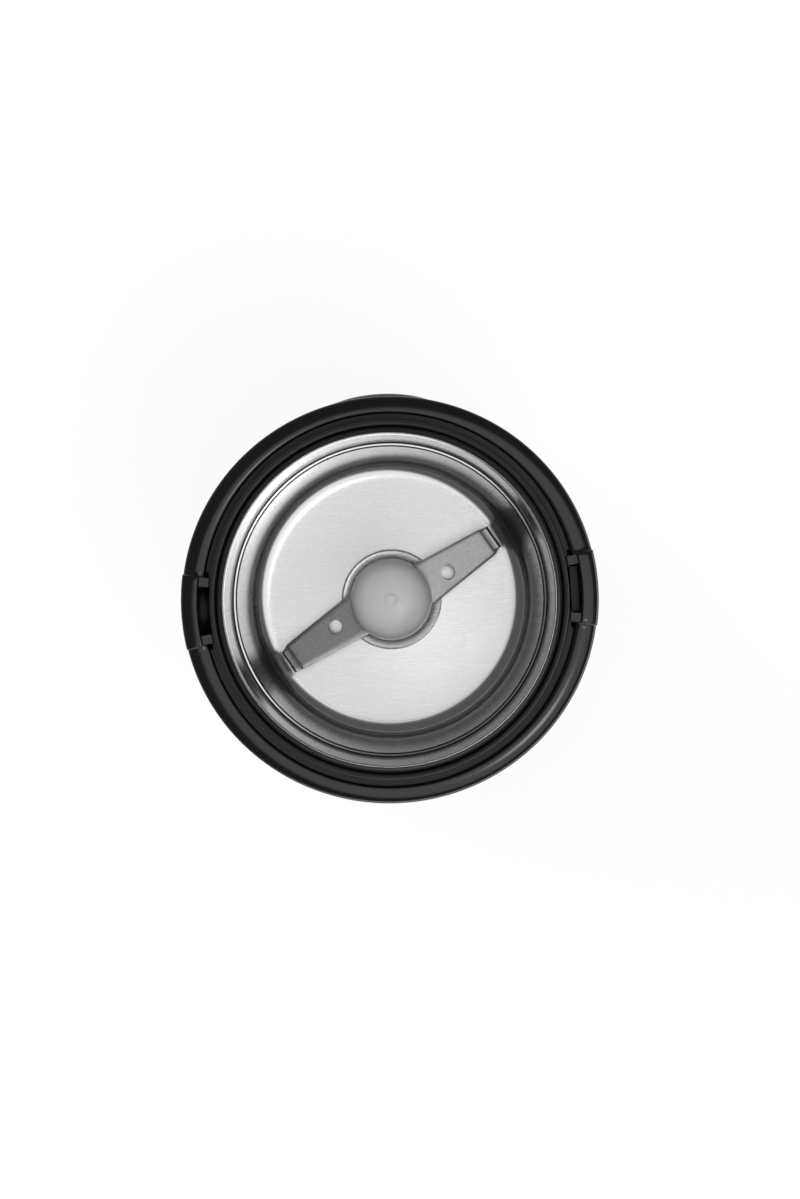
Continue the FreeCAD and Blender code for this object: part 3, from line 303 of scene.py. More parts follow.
# Brush holders and commutator. Drawn brass tube and hard-drawn copper bars,
# dulled brown where the brushes run and the air has tarnished them.
tarnished_brass, tree = new_material("drawn_brass_tarnished")
place = add(tree, "ShaderNodeTexCoord")
drawn = add(tree, "ShaderNodeMapping", {"Scale": (300.0, 300.0, 2400.0)},
            {"Vector": place.outputs["Object"]})
streak = add(tree, "ShaderNodeTexNoise", {"Scale": 1.0, "Detail": 4.0},
             {"Vector": drawn.outputs["Vector"]})
tint = add(tree, "ShaderNodeMix", {"A": linear("#8a6a34"), "B": linear("#d0ad62")},
           {"Factor": streak.outputs["Fac"]}, data_type="RGBA")
rough = add(tree, "ShaderNodeMapRange", {"To Min": 0.28, "To Max": 0.5},
            {"Value": streak.outputs["Fac"]})
skin = add(tree, "ShaderNodeBsdfPrincipled", {"Metallic": 1.0},
           {"Base Color": tint.outputs["Result"], "Roughness": rough.outputs["Result"]})
add(tree, "ShaderNodeOutputMaterial", links={"Surface": skin.outputs["BSDF"]})
for node in ("brush_holder_front", "brush_holder_rear", "commutator"):
    dress(node, tarnished_brass)

# Carbon brushes. Pressed carbon and graphite, soft black with grey glints,
# sprung against the commutator from both sides.
graphite, tree = new_material("pressed_carbon_graphite")
place = add(tree, "ShaderNodeTexCoord")
fleck = add(tree, "ShaderNodeTexVoronoi", {"Scale": 2500.0}, {"Vector": place.outputs["Object"]})
tint = add(tree, "ShaderNodeMix", {"A": linear("#2c2c2e"), "B": linear("#131314")},
           {"Factor": fleck.outputs["Distance"]}, data_type="RGBA")
skin = add(tree, "ShaderNodeBsdfPrincipled", {"Roughness": 0.6},
           {"Base Color": tint.outputs["Result"]})
add(tree, "ShaderNodeOutputMaterial", links={"Surface": skin.outputs["BSDF"]})
for node in ("carbon_brush_front", "carbon_brush_rear"):
    dress(node, graphite)

# Cooling fan, drive coupling and the bowl's own coupling. Glass-filled nylon,
# injection moulded: satin black with pale fibre streaks along the flow.
filled_nylon, tree = new_material("glass_filled_nylon_black")
place = add(tree, "ShaderNodeTexCoord")
flow = add(tree, "ShaderNodeMapping", {"Scale": (500.0, 2500.0, 500.0)},
           {"Vector": place.outputs["Object"]})
fibre = add(tree, "ShaderNodeTexNoise", {"Scale": 1.0, "Detail": 5.0, "Roughness": 0.7},
            {"Vector": flow.outputs["Vector"]})
tint = add(tree, "ShaderNodeMix", {"A": linear("#101011"), "B": linear("#2b2b2d")},
           {"Factor": fibre.outputs["Fac"]}, data_type="RGBA")
bump = add(tree, "ShaderNodeBump", {"Strength": 0.3, "Distance": 0.00003},
           {"Height": fibre.outputs["Fac"]})
skin = add(tree, "ShaderNodeBsdfPrincipled", {"Roughness": 0.42, "IOR": 1.53},
           {"Base Color": tint.outputs["Result"], "Normal": bump.outputs["Normal"]})
add(tree, "ShaderNodeOutputMaterial", links={"Surface": skin.outputs["BSDF"]})
for node in ("cooling_fan", "drive_coupling", "driven_coupling"):
    dress(node, filled_nylon)

# Rubber dampers between the motor and the chassis, and the cord's gland. The
# same black rubber as the feet; the gland is pressed into the rear wall.
for node in ("motor_dampers", "cord_grommet"):
    dress(node, soft_rubber)

# Switches. Two lever switches in phenolic plastic, dull and slightly brown,
# clipped under the well with their terminals down.
phenolic, tree = new_material("moulded_phenolic_brown_black")
place = add(tree, "ShaderNodeTexCoord")
filler = add(tree, "ShaderNodeTexNoise", {"Scale": 3000.0, "Detail": 3.0},
             {"Vector": place.outputs["Object"]})
tint = add(tree, "ShaderNodeMix", {"A": linear("#1d1815"), "B": linear("#2e2823")},
           {"Factor": filler.outputs["Fac"]}, data_type="RGBA")
skin = add(tree, "ShaderNodeBsdfPrincipled", {"Roughness": 0.5, "IOR": 1.6},
           {"Base Color": tint.outputs["Result"]})
add(tree, "ShaderNodeOutputMaterial", links={"Surface": skin.outputs["BSDF"]})
for node in ("power_switch", "interlock_switch"):
    dress(node, phenolic)

# Suppression capacitor. A block of film capacitor in a yellow polyester case
# filled with resin, standing on the base cover behind the motor.
yellow_case, tree = new_material("polyester_case_yellow")
place = add(tree, "ShaderNodeTexCoord")
cloud = add(tree, "ShaderNodeTexNoise", {"Scale": 150.0, "Detail": 2.0},
            {"Vector": place.outputs["Object"]})
tint = add(tree, "ShaderNodeMix", {"A": linear("#d8a018"), "B": linear("#e6b838")},
           {"Factor": cloud.outputs["Fac"]}, data_type="RGBA")
skin = add(tree, "ShaderNodeBsdfPrincipled", {"Roughness": 0.3, "IOR": 1.55},
           {"Base Color": tint.outputs["Result"]})
add(tree, "ShaderNodeOutputMaterial", links={"Surface": skin.outputs["BSDF"]})
dress("suppression_capacitor", yellow_case)

# Chassis. Satin ABS moulding that forms the well under the bowl; four columns
# stand on the base cover and four short posts carry the motor.
dress("chassis", satin_abs)
dress("interlock_plunger", satin_abs)

# Housing. One glossy ABS moulding with a gentle waist and a low, soft shoulder.
# At each side a lug for the lid stands out of the shoulder, with a catch slot.
body_radius, lug_radius, mouth_radius, slot_radius = 50.0, 51.5, 46.1, 47.4
lug_half_width, slot_half_width = 9.25, 6.0
lug_angle = np.degrees(np.arcsin(lug_half_width / 51.0))
slot_angle = np.degrees(np.arcsin(slot_half_width / slot_radius))
bend = np.linspace(0, 0.47 * np.pi, 13)
edge = np.linspace(0.5 * np.pi, np.pi, 5)


def step(value, at, width):
    """Smooth rise from 0 to 1: 3 t^2 - 2 t^3, t running over width about at."""
    t = np.clip((value - at) / width + 0.5, 0, 1)
    return t * t * (3 - 2 * t)


def run(first, last, count):
    """Evenly spaced (radius, height) points from first to last, in mm."""
    return np.linspace(first, last, count)


def ellipse(middle, half, angle):
    """Points at middle + (half width x cos a, half height x sin a), in mm."""
    return np.stack([middle[0] + half[0] * np.cos(angle),
                     middle[1] + half[1] * np.sin(angle)], axis=1)


# Three profiles of the same length over the top edge and down inside: the
# plain shoulder, the ends of a lug, and the catch slot in its middle.
plain = np.concatenate([
    ellipse((mouth_radius, 140.6), (3.9, 1.4), bend), ellipse((46.4, 141.66), (0.3, 0.3), edge)[1:],
    run((mouth_radius, 141.2), (mouth_radius, 139.6), 4),
    run((mouth_radius, 139.2), (mouth_radius, 136.6), 5),
    run((mouth_radius, 136.3), (mouth_radius, 135.3), 4),
    run((mouth_radius, 134.9), (mouth_radius, 133.5), 4)])
lug_end = np.concatenate([
    ellipse((47.5, 141.0), (4.0, 1.4), bend), ellipse((47.65, 142.15), (0.25, 0.25), edge)[1:],
    run((slot_radius, 141.8), (slot_radius, 140.6), 4), run((47.3, 140.5), (44.95, 140.5), 5),
    ellipse((44.85, 140.25), (0.25, 0.25), edge)[1:], run((44.6, 139.0), (44.6, 133.5), 4)])
slot_middle = np.concatenate([
    lug_end[:bend.size + edge.size - 1],
    run((slot_radius, 141.6), (slot_radius, 139.4), 4),
    run((slot_radius, 138.8), (slot_radius, 136.4), 5),
    run((slot_radius, 135.9), (slot_radius, 134.0), 4),
    run((slot_radius, 133.5), (slot_radius, 131.0), 4)])

# Heights of the wall's lines in mm: the lip under the body, the foot, past the
# gland, the waist, past the button, and close together where the lugs begin.
foot_level, lug_level = 3.0, 133.5
levels = np.concatenate([
    [7.0, 3.3, 3.01, foot_level, 3.25, 3.8, 5.2, 6.9, 8.6], run(10.2, 25.8, 13),
    run(28, 91, 20), run(93.2, 126.8, 25),
    [128.5, 130.4, 131.8, 132.9, 133.3, 133.45, 133.6, 133.9, 134.8, 136.2, 137.4]])
# Directions in degrees: even steps, and five in a row at every side of a lug
# or a slot, where the profile changes over 0.4 degrees.
sides = [end + np.array([-lug_angle, -slot_angle, slot_angle, lug_angle]) for end in (0, 180)]
close = np.ravel(sides)[:, None] + np.array([-0.22, -0.11, 0.0, 0.11, 0.22])
turn = np.unique(np.concatenate([np.arange(0, 360, 1.5), close.ravel() % 360]).round(4))
around = np.abs((turn + 90) % 180 - 90)
in_lug = 1 - step(around, lug_angle, 0.4)[:, None]
in_slot = 1 - step(around, slot_angle, 0.4)[:, None]
swell = step(levels, lug_level, 0.5)
# The body is oval: 1.3 mm more at the lugs and 0.2 mm in front and behind.
oval = 0.75 + 0.55 * np.cos(2 * np.radians(turn))[:, None]
top = [plain[:, k] + in_lug * (lug_end - plain)[:, k] + in_slot * (slot_middle - lug_end)[:, k]
       for k in (0, 1)]
top[0][:, :bend.size] += (1 - in_lug) * oval
wall = np.full((turn.size, levels.size), body_radius)
radius = np.concatenate([wall, top[0]], axis=1)
height = np.concatenate([np.broadcast_to(levels, wall.shape), top[1]], axis=1)


def open_oval(across, up, spot, half, ring, spread=4):
    """Bends a grid so that one ring of its lines lies on an oval, and tells
    which quads that ring encloses.

    across and up are distances from the oval's middle, and spot is the grid
    line pair that crosses there. A point moves to where the ray from the
    middle leaves the oval, by a share that falls from 1 on the ring to 0 at
    spread lines outside it.
    """
    column, row = np.indices(across.shape)
    column, row = column - spot[0], row - spot[1]
    outside = np.maximum(np.abs(column) - ring[0], np.abs(row) - ring[1])
    reach = np.maximum(outside, 0)
    x, z = column / (ring[0] + reach) * half[0], row / (ring[1] + reach) * half[1]
    flat = half[0] - half[1]
    # The ray leaves through a flat side, or else through a round end.
    side = np.where(np.abs(z) > 0, half[1] / np.maximum(np.abs(z), 1e-9), 1e9)
    a, b, c = x * x + z * z, np.abs(x) * flat, flat * flat - half[1] * half[1]
    end = (b + np.sqrt(np.maximum(b * b - a * c, 0))) / np.maximum(a, 1e-9)
    scale = np.where(np.abs(x) * side <= flat, side, end)
    share = np.clip(1 - outside / spread, 0, 1)
    cut = (np.abs(column + 0.5) < ring[0]) & (np.abs(row + 0.5) < ring[1])
    return across + share * (x * scale - across), up + share * (z * scale - up), cut


waist_length, foot_round = 135.4, 0.5


def waist_radius(height):
    """The body's radius and its oval, less 1 - cos of the height, which draws
    the waist in by 2 mm half way up, and less a parabola at the foot's edge."""
    above = height - foot_level
    narrow = 1 - np.cos(2 * np.pi * above / waist_length)
    return body_radius + oval - narrow - foot_round * np.clip(1 - above / foot_round, 0, 1) ** 2


angle = np.broadcast_to(np.radians(turn)[:, None], radius.shape)
cut = np.zeros(radius.shape, bool)
# The button's window in front and the gland's hole behind: direction, height,
# half sizes in mm, and half sizes in grid lines.
button_window = (270.0, 110.0, (16.8, 11.3), (12, 8))
gland_hole = (90.0, 18.0, (6.6, 5.3), (5, 4))
for at, level, half, ring in (button_window, gland_hole):
    spot = (np.argmin(np.abs(turn - at)), np.argmin(np.abs(levels - level)))
    wide = (angle - np.radians(at)) * radius
    wide, up, hole = open_oval(wide, height - level, spot, half, ring)
    angle, height, cut = wide / radius + np.radians(at), up + level, cut | hole
low = height[:, :levels.size]
radius[:, :levels.size] = waist_radius(low) + in_lug * swell * (lug_radius - waist_radius(low))
lip_radii = [45.9, 45.9, 46.2]
radius[:, :3] = lip_radii
points = np.stack([radius * np.cos(angle), radius * np.sin(angle), height], axis=2) / 1000
keep = ~cut[:, :-1]


def settle(piece, crease=32):
    """Applies a piece's modifiers and marks the edges that stay sharp."""
    graph = bpy.context.evaluated_depsgraph_get()
    done = bpy.data.meshes.new_from_object(piece.evaluated_get(graph))
    piece.modifiers.clear()
    piece.data = done
    tidy(done, crease, True)


shell = grid_piece("housing_shell", points, (True, False), keep)
wall = shell.modifiers.new("wall", "SOLIDIFY")
wall.thickness, wall.offset, wall.use_even_offset = 0.0012, -1.0, True
settle(shell)

# Glossy black ABS: a polished tool gives a mirror skin, with the slight
# orange peel, 4 mm across, that softens the edge of every reflection.
gloss_abs, tree = new_material("glossy_black_abs_moulded")
place = add(tree, "ShaderNodeTexCoord")
peel = add(tree, "ShaderNodeTexNoise", {"Scale": 250.0, "Detail": 1.0},
           {"Vector": place.outputs["Object"]})
handled = add(tree, "ShaderNodeTexNoise", {"Scale": 60.0, "Detail": 4.0, "Roughness": 0.6},
              {"Vector": place.outputs["Object"]})
tint = add(tree, "ShaderNodeMix", {"A": linear("#0a0a0b"), "B": linear("#101011")},
           {"Factor": handled.outputs["Fac"]}, data_type="RGBA")
rough = add(tree, "ShaderNodeMapRange", {"To Min": 0.1, "To Max": 0.2},
            {"Value": handled.outputs["Fac"]})
bump = add(tree, "ShaderNodeBump", {"Strength": 0.15, "Distance": 0.00004},
           {"Height": peel.outputs["Fac"]})
skin = add(tree, "ShaderNodeBsdfPrincipled", {"IOR": 1.5},
           {"Base Color": tint.outputs["Result"], "Roughness": rough.outputs["Result"],
            "Normal": bump.outputs["Normal"]})
add(tree, "ShaderNodeOutputMaterial", links={"Surface": skin.outputs["BSDF"]})
shell.data.materials.append(gloss_abs)
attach(shell, "body")
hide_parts("housing")

# Power button. The same glossy ABS, domed, with its flange behind the wall
# and a leg down to the switch; it slides in by 3 mm.
dress("power_button", gloss_abs)

# Bowl foot. Satin ABS disc under the steel cup, with four ribs; a sintered
# bronze bush in its middle carries the blade's shaft.
dress("bowl_base", satin_abs)

# Sintered bronze: powder pressed and baked, so it is dull gold with dark
# pores about 0.2 mm across that hold oil.
sintered_bronze, tree = new_material("sintered_bronze")
place = add(tree, "ShaderNodeTexCoord")
pores = add(tree, "ShaderNodeTexVoronoi", {"Scale": 5000.0}, {"Vector": place.outputs["Object"]})
tint = add(tree, "ShaderNodeMix", {"A": linear("#4a3418"), "B": linear("#a88348")},
           {"Factor": pores.outputs["Distance"]}, data_type="RGBA")
skin = add(tree, "ShaderNodeBsdfPrincipled", {"Metallic": 1.0, "Roughness": 0.42},
           {"Base Color": tint.outputs["Result"]})
add(tree, "ShaderNodeOutputMaterial", links={"Surface": skin.outputs["BSDF"]})
dress("bowl_bush", sintered_bronze)

# Bowl. Stainless sheet 0.5 mm thick, deep drawn: a raised boss in the floor, a
# corner that tightens towards the wall, a narrow ledge and a flared mouth.
boss = [(7, 108.5, 0.2), (10.0, 108.5, 1.0), (12.5, 108.9, 0.2), (12.75, 106.0, 0.2)]
corner = [(32.37, 106.0, 7.1), (35.07, 107.26, 2.5)]
ledge = [(38.07, 133.6, 0), (38.15, 134.27, 0.25), (38.42, 134.33, 0), (38.8, 134.41, 0),
         (39.05, 134.47, 0.15), (39.13, 135.3, 0)]
rim = [(40.36, 147.6, 0.08), (40.9, 148.0, 0.08)]
outside = [(39.55, 134.0, 0.3), (38.61, 133.85, 0.3), (35.54, 106.93, 3.0), (32.47, 105.5, 7.6),
           (12.25, 105.5, 0.5), (12.0, 108.3, 0.6), (10.0, 108.0, 1.0), (7, 108.0, 0.2)]
bowl = lathe("steel_bowl", outline(boss + corner + ledge + rim + outside, steps=12),
             turns=256, crease=40)

# Brushed 304 stainless. The floor is brushed in straight strokes along X
# after drawing, and the wall in rings as it spins. The two creases of the ledge
# are rougher, and their dark grey colour is painted shade. Strokes are 0.15 mm
# apart, drawn 0.3 mm apart so that they show. Each row: stretch, roughness, darker and lighter
# tone.
for name, stretch, least, most, dark, light in (
        ("stainless_brushed_straight", (60.0, 3300.0, 3300.0), 0.22, 0.42, "#c5c5c5", "#dbdbda"),
        ("stainless_spun_in_rings", (0.0, 0.0, 2600.0), 0.14, 0.28, "#cbcbcb", "#e2e2e1"),
        ("stainless_crease_painted_shade", (0.0, 0.0, 2600.0), 0.4, 0.6, "#353535", "#3c3c3c")):
    made, tree = new_material(name)
    place = add(tree, "ShaderNodeTexCoord")
    spread = add(tree, "ShaderNodeMapping", {"Scale": stretch}, {"Vector": place.outputs["Object"]})
    stroke = add(tree, "ShaderNodeTexNoise", {"Scale": 1.0, "Detail": 4.0, "Roughness": 0.65},
                 {"Vector": spread.outputs["Vector"]})
    cloud = add(tree, "ShaderNodeTexNoise", {"Scale": 45.0, "Detail": 3.0},
                {"Vector": place.outputs["Object"]})
    both = add(tree, "ShaderNodeMath", links={0: stroke.outputs["Fac"], 1: cloud.outputs["Fac"]},
               operation="MULTIPLY")
    tint = add(tree, "ShaderNodeMix", {"A": linear(dark), "B": linear(light)},
               {"Factor": stroke.outputs["Fac"]}, data_type="RGBA")
    rough = add(tree, "ShaderNodeMapRange", {"To Min": least, "To Max": most},
                {"Value": both.outputs["Value"]})
    bump = add(tree, "ShaderNodeBump", {"Strength": 0.25, "Distance": 0.00002},
               {"Height": stroke.outputs["Fac"]})
    lay = add(tree, "ShaderNodeTangent", direction_type="RADIAL", axis="Z")
    skin = add(tree, "ShaderNodeBsdfPrincipled",
               {"Metallic": 1.0, "Anisotropic": 0.0 if "straight" in name else 0.3},
               {"Base Color": tint.outputs["Result"], "Roughness": rough.outputs["Result"],
                "Normal": bump.outputs["Normal"], "Tangent": lay.outputs["Tangent"]})
    add(tree, "ShaderNodeOutputMaterial", links={"Surface": skin.outputs["BSDF"]})
    bowl.data.materials.append(made)

# The rings start where the floor curves up; the painted shade goes on the ledge's
# two creases, its edges either side of its flat middle. Radii and heights in metres.
floor_height, floor_radius = 0.10605, 0.0305
ledge_height, ledge_reach, ledge_middle, flat_half = 0.1344, 0.0007, 0.03861, 0.00018
middle = np.zeros(len(bowl.data.polygons) * 3)
bowl.data.polygons.foreach_get("center", middle)
middle = middle.reshape(-1, 3)
out = np.hypot(middle[:, 0], middle[:, 1])
spun = (middle[:, 2] > floor_height) & (out > floor_radius)
# Faces on the ledge's two creases take the dark crease material: painted shade.
crease_painted_shade = (np.abs(middle[:, 2] - ledge_height) < ledge_reach) & (out > 0.038) & (out < 0.0392)
crease_painted_shade &= np.abs(out - ledge_middle) > flat_half
bowl.data.polygons.foreach_set("material_index", spun.astype(np.int32) + crease_painted_shade)
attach(bowl, "bowl")
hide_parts("bowl")

# Bowl collar. Satin ABS ring pressed round the cup's mouth; its groove takes
# the lid's seal, and its outer edge is a low rounded lip.
ring = outline([(38.95, 129, 0.3), (44.1, 129, 0.4), (44.1, 146.2, 0.55), (42.7, 145.9, 0.4),
                (42.7, 143.2, 0.4), (41.7, 143.2, 0.3), (41.7, 147.3, 0.45), (41.0, 147.8, 0.1),
                (39.62, 134.0, 0), (38.95, 133.8, 0)], steps=6)
collar = lathe("bowl_collar_ring", ring, turns=256, crease=40)
collar.data.materials.append(satin_abs)
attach(collar, "bowl")
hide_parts("bowl_collar")

# Blade. One strip of stainless 1.5 mm thick: punched, drilled, its ends bent
# up, its wings lifted 4 degrees and pitched by 7, and its edges ground.
underside, wing_start, wing_end = 111.0, 9.0, 28.0
rise, pitch = np.tan(np.radians(4.0)), np.tan(np.radians(7.0))
hole_reach, hole_offset, hole_radius = 15.9, 2.5, 1.85
ground_drop = 0.13


def wing_height(reach):
    """Level under the hub, then straight up at the rise, in mm."""
    return underside + rise * np.maximum(reach - wing_start, 0)


# One side of the strip seen along it, as (reach, height): the wing, the bend
# of 2.8 mm radius, and the tab that leans back a little. The other mirrors it.
flat_run = np.concatenate([np.linspace(0, wing_start, 10), hole_reach + 0.62 * np.arange(-10, 11),
                           np.linspace(22.7, wing_end, 8)])
curl = np.radians(np.linspace(-86.0, 10.0, 15))
profile = np.concatenate([np.stack([flat_run, wing_height(flat_run)], axis=1),
                          ellipse((27.9, 115.128), (2.8, 2.8), curl),
                          run((30.51, 116.4), (29.97, 119.5), 4)])
reach, lift = np.concatenate([profile[:0:-1] * [-1, 1], profile]).T

# Across it, 17 lines run from the trailing edge over the holes' middles to the
# leading edge: widest near the hub, and tapered to the tabs.
taper = ([-30.3, -7.7, 9.7, 27.4, 30.3], [5.0, 6.8, 3.9, 1.7, 1.3])
lead, trail = np.interp(reach, *taper), -np.interp(-reach, *taper)
grow = 12.0
middle = -hole_offset * np.clip(reach / grow, -1, 1)
across = np.linspace(-1, 1, 17)[None, :]
x = np.repeat(reach[:, None], across.size, axis=1)
y = middle[:, None] + np.where(across > 0, across * (lead - middle)[:, None],
                               -across * (trail - middle)[:, None])
cut = np.zeros(x.shape, bool)
for side in (1, -1):
    spot = (np.argmin(np.abs(reach - side * hole_reach)), across.size // 2)
    wide, up, hole = open_oval(x - side * hole_reach, y + side * hole_offset, spot,
                               (hole_radius, hole_radius), (3, 3), 3)
    x, y, cut = wide + side * hole_reach, up - side * hole_offset, cut | hole
z = np.where(np.abs(x) < wing_end + 0.05, wing_height(np.abs(x)), lift[:, None])
z = z + pitch * y * np.clip(x / grow, -1, 1)
z = z - ground_drop * (np.abs(across) > 0.99)
turned = np.radians(31.5)
points = np.stack([x * np.cos(turned) - y * np.sin(turned), x * np.sin(turned) + y * np.cos(turned),
                   z], axis=2) / 1000
blade = grid_piece("blade_strip", points, keep=~cut[:-1, :-1])
sheet = blade.modifiers.new("sheet", "SOLIDIFY")
sheet.thickness, sheet.offset, sheet.use_even_offset = 0.0015, 1.0, True
ground = blade.modifiers.new("ground", "BEVEL")
ground.width, ground.segments, ground.limit_method = 0.0002, 2, "ANGLE"
ground.angle_limit = np.radians(50)
settle(blade, crease=40)

# Tumbled stainless: after grinding, the strip is tumbled with grit, which
# leaves a grey, grainy satin with specks about 0.3 mm across.
tumbled_steel, tree = new_material("tumbled_stainless")
place = add(tree, "ShaderNodeTexCoord")
grit = add(tree, "ShaderNodeTexNoise", {"Scale": 1500.0, "Detail": 5.0, "Roughness": 0.75},
           {"Vector": place.outputs["Object"]})
tint = add(tree, "ShaderNodeMix", {"A": linear("#777675"), "B": linear("#c4c3c3")},
           {"Factor": grit.outputs["Fac"]}, data_type="RGBA")
rough = add(tree, "ShaderNodeMapRange", {"To Min": 0.3, "To Max": 0.5},
            {"Value": grit.outputs["Fac"]})
bump = add(tree, "ShaderNodeBump", {"Strength": 0.5, "Distance": 0.0001},
           {"Height": grit.outputs["Fac"]})
skin = add(tree, "ShaderNodeBsdfPrincipled", {"Metallic": 1.0},
           {"Base Color": tint.outputs["Result"], "Roughness": rough.outputs["Result"],
            "Normal": bump.outputs["Normal"]})
add(tree, "ShaderNodeOutputMaterial", links={"Surface": skin.outputs["BSDF"]})
blade.data.materials.append(tumbled_steel)
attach(blade, "blade")
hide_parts("blade")

# Hub cap. Acetal plastic, moulded over the shaft's end: a round-shouldered
# dome in satin grey, with the small raised spot where it was gated.
hub_radius, dome_start, dome_height, fullness = 10.4, 112.75, 9.8, 0.74
# A superellipse: radius x cos^fullness a, start + height x sin^fullness a.
climb = np.radians(np.linspace(4.0, 84.0, 24))
dome = np.stack([hub_radius * np.cos(climb) ** fullness,
                 dome_start + dome_height * np.sin(climb) ** fullness], axis=1)
gate = [(1.5, 122.56), (1.3, 122.72), (0.9, 122.8), (0, 122.82)]
cap = np.concatenate([[(0, 112.5), (10.2, 112.5), (hub_radius, 112.7)], dome, gate]) / 1000
hub = lathe("hub_cap", cap, turns=96, crease=60)

# Satin acetal, light grey: a slightly waxy skin with clouds 5 mm across.
acetal, tree = new_material("satin_grey_acetal")
place = add(tree, "ShaderNodeTexCoord")
cloud = add(tree, "ShaderNodeTexNoise", {"Scale": 200.0, "Detail": 3.0},
            {"Vector": place.outputs["Object"]})
grain = add(tree, "ShaderNodeTexNoise", {"Scale": 3500.0, "Detail": 2.0},
            {"Vector": place.outputs["Object"]})
tint = add(tree, "ShaderNodeMix", {"A": linear("#a6a6a7"), "B": linear("#b0b0b1")},
           {"Factor": cloud.outputs["Fac"]}, data_type="RGBA")
bump = add(tree, "ShaderNodeBump", {"Strength": 0.2, "Distance": 0.00003},
           {"Height": grain.outputs["Fac"]})
skin = add(tree, "ShaderNodeBsdfPrincipled",
           {"Roughness": 0.22, "IOR": 1.48, "Subsurface Weight": 0.7,
            "Subsurface Radius": (1.0, 1.0, 1.0), "Subsurface Scale": 0.008},
           {"Base Color": tint.outputs["Result"], "Normal": bump.outputs["Normal"]})
add(tree, "ShaderNodeOutputMaterial", links={"Surface": skin.outputs["BSDF"]})
hub.data.materials.append(acetal)
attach(hub, "blade")
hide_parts("blade_hub")

# Floor. A plain white table top, wide enough for every view. It shows white
# to the camera and in reflections, less the shadow that the object throws.
half = 3.0
mesh = bpy.data.meshes.new("floor")
mesh.from_pydata([(-half, -half, 0), (half, -half, 0), (half, half, 0), (-half, half, 0)], [],
                 [(0, 1, 2, 3)])
floor = bpy.data.objects.new("floor", mesh)
bpy.context.scene.collection.objects.link(floor)
white_table, tree = new_material("white_table_laminate")
paint = add(tree, "ShaderNodeBsdfDiffuse", {"Color": linear("#f4f4f4")})
glow = add(tree, "ShaderNodeEmission", {"Color": (1, 1, 1, 1), "Strength": 1.0})
ray = add(tree, "ShaderNodeLightPath")
seen = add(tree, "ShaderNodeMath", links={0: ray.outputs["Is Camera Ray"],
                                          1: ray.outputs["Is Glossy Ray"]}, operation="ADD")
seen = add(tree, "ShaderNodeMath", links={0: seen.outputs["Value"],
                                          1: ray.outputs["Is Transmission Ray"]},
           operation="ADD", use_clamp=True)
share = add(tree, "ShaderNodeMath", {1: 0.88}, {0: seen.outputs["Value"]}, operation="MULTIPLY")
both = add(tree, "ShaderNodeMixShader", links={0: share.outputs["Value"], 1: paint.outputs["BSDF"],
                                               2: glow.outputs["Emission"]})
add(tree, "ShaderNodeOutputMaterial", links={"Surface": both.outputs["Shader"]})
floor.data.materials.append(white_table)

# Studio. The camera sees white all round. Reflections find a dim ceiling, a
# low wall that is bright on the photograph's lower right side, and a soft box
# with a hot middle nearly overhead; an even, dimmer white fills the shadows.
lit_way, box_way = (-0.66, 0.75, 0.0), (-0.182, 0.207, 0.961)
world =bpy.data.worlds.new("studio")
bpy.context.scene.world = world
world.use_nodes = True
tree = world.node_tree
tree.nodes.clear()
ray = add(tree, "ShaderNodeLightPath")
place = add(tree, "ShaderNodeTexCoord")
toward = add(tree, "ShaderNodeSeparateXYZ", links={0: place.outputs["Generated"]})
aside = add(tree, "ShaderNodeVectorMath", {1: lit_way}, {0: place.outputs["Generated"]},
            operation="DOT_PRODUCT")
near = add(tree, "ShaderNodeVectorMath", {1: box_way}, {0: place.outputs["Generated"]},
           operation="DOT_PRODUCT")
# Each row: what it follows, where the smooth change starts and ends, and the
# strengths there. low fades the wall out above the horizon.
lit_side, low, box_glow, core_glow = [
    add(tree, "ShaderNodeMapRange",
        {"From Min": start, "From Max": end, "To Min": first, "To Max": last},
        {"Value": source}, interpolation_type="SMOOTHSTEP").outputs["Result"]
    for source, start, end, first, last in (
        (aside.outputs["Value"], 0.0, 0.75, 0.2, 3.5),
        (toward.outputs["Z"], 0.25, 0.42, 1.0, 0.0),
        (near.outputs["Value"], 0.845, 0.915, 0.0, 1.2),
        (near.outputs["Value"], 0.994, 0.999, 0.0, 8.0))]
ceiling_glow = 0.11
wall_glow = add(tree, "ShaderNodeMath", {2: ceiling_glow}, {0: low, 1: lit_side},
                operation="MULTIPLY_ADD")
found = add(tree, "ShaderNodeMath", links={0: wall_glow.outputs["Value"], 1: box_glow},
            operation="MAXIMUM")
found = add(tree, "ShaderNodeMath", links={0: found.outputs["Value"], 1: core_glow},
            operation="MAXIMUM")
mirrored = add(tree, "ShaderNodeMath", links={0: ray.outputs["Is Glossy Ray"],
                                              1: found.outputs["Value"]}, operation="MULTIPLY")
seen = add(tree, "ShaderNodeMath", links={0: ray.outputs["Is Camera Ray"],
                                          1: ray.outputs["Is Transmission Ray"]},
           operation="MAXIMUM")
direct = add(tree, "ShaderNodeMath", links={0: seen.outputs["Value"],
                                            1: ray.outputs["Is Glossy Ray"]},
             operation="MAXIMUM")
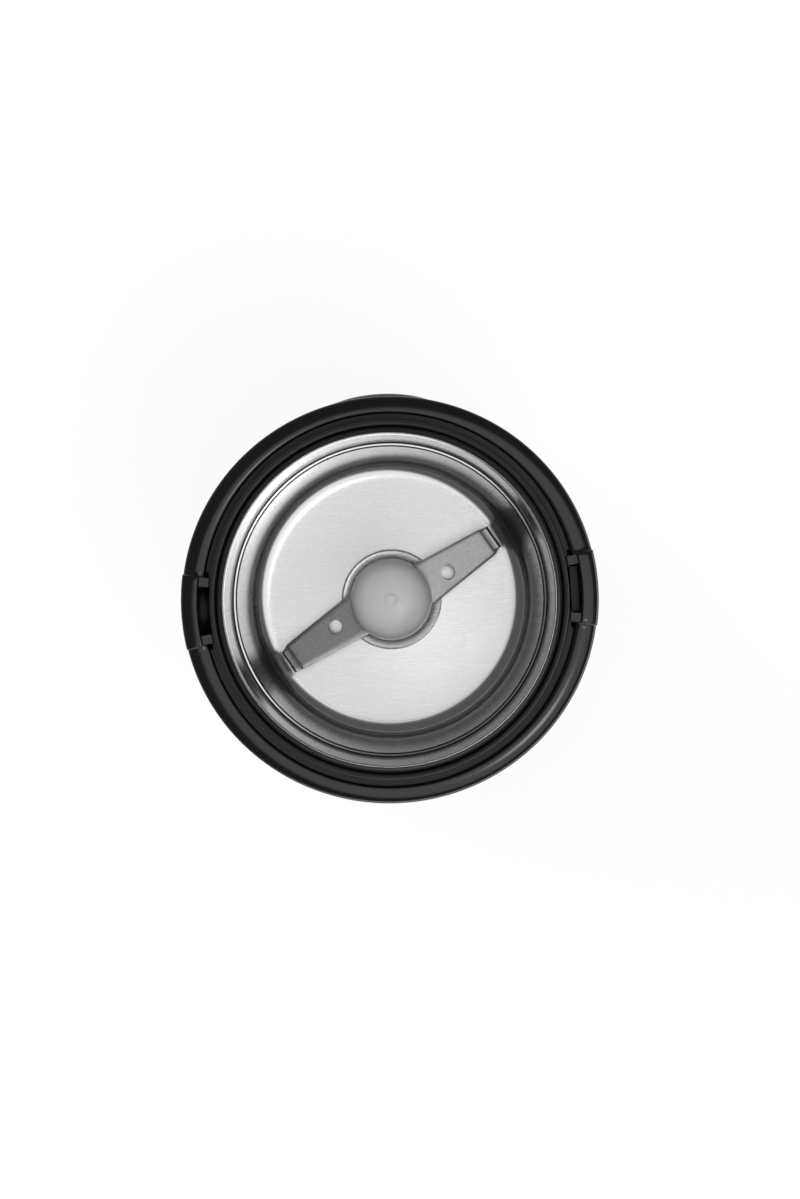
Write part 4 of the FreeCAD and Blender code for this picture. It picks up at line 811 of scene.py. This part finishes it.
fill = add(tree, "ShaderNodeMapRange", {"To Min": 0.6, "To Max": 0.0},
           {"Value": direct.outputs["Value"]})
level = add(tree, "ShaderNodeMath", links={0: seen.outputs["Value"],
                                           1: mirrored.outputs["Value"]}, operation="MAXIMUM")
level = add(tree, "ShaderNodeMath", links={0: level.outputs["Value"],
                                           1: fill.outputs["Result"]}, operation="MAXIMUM")
sky = add(tree, "ShaderNodeBackground", {"Color": (1, 1, 1, 1)},
          {"Strength": level.outputs["Value"]})
add(tree, "ShaderNodeOutputWorld", links={"Surface": sky.outputs["Background"]})


def lamp(name, place, aim, size, power):
    """A square soft box at place, turned to face aim."""
    light = bpy.data.lights.new(name, "AREA")
    light.size, light.energy = size, power
    box = bpy.data.objects.new(name, light)
    box.matrix_world = Matrix.Translation(place) @ (
        Vector(aim) - Vector(place)).to_track_quat("-Z", "Y").to_matrix().to_4x4()
    bpy.context.scene.collection.objects.link(box)
    box.visible_glossy = False


lamp("key_soft_box", (-0.28, 0.42, 1.25), (0, 0, 0.12), 0.55, 9.0)
lamp("fill_soft_box", (0.9, -0.6, 0.9), (0, 0, 0.08), 0.8, 9.0)

# Camera. It looks straight down from 750 mm above the bowl's rim, a little to
# the right of the shaft, with the object turned 3.5 degrees in the frame.
up_angle, rim_height, eye_height = np.radians(266.5), 0.148, 0.898
up = np.array([np.cos(up_angle), np.sin(up_angle), 0.0])
right = np.array([up[1], -up[0], 0.0])
eye = Vector((0.01133 * right + 0.0028 * up + [0, 0, eye_height]).tolist())
aim = Vector((0.00263 * right + 0.0001 * up + [0, 0, rim_height]).tolist())
back = (eye - aim).normalized()
side = Vector(up.tolist()).cross(back).normalized()
top_side = back.cross(side)
camera = bpy.data.cameras.new("camera")
camera.sensor_fit, camera.sensor_height, camera.lens = "VERTICAL", 36.0, 92.3
stand = bpy.data.objects.new("camera", camera)
stand.matrix_world = Matrix.Translation(eye) @ Matrix((side, top_side, back)).transposed().to_4x4()
bpy.context.scene.collection.objects.link(stand)
bpy.context.scene.camera = stand
bpy.context.scene.view_settings.view_transform = "Standard"
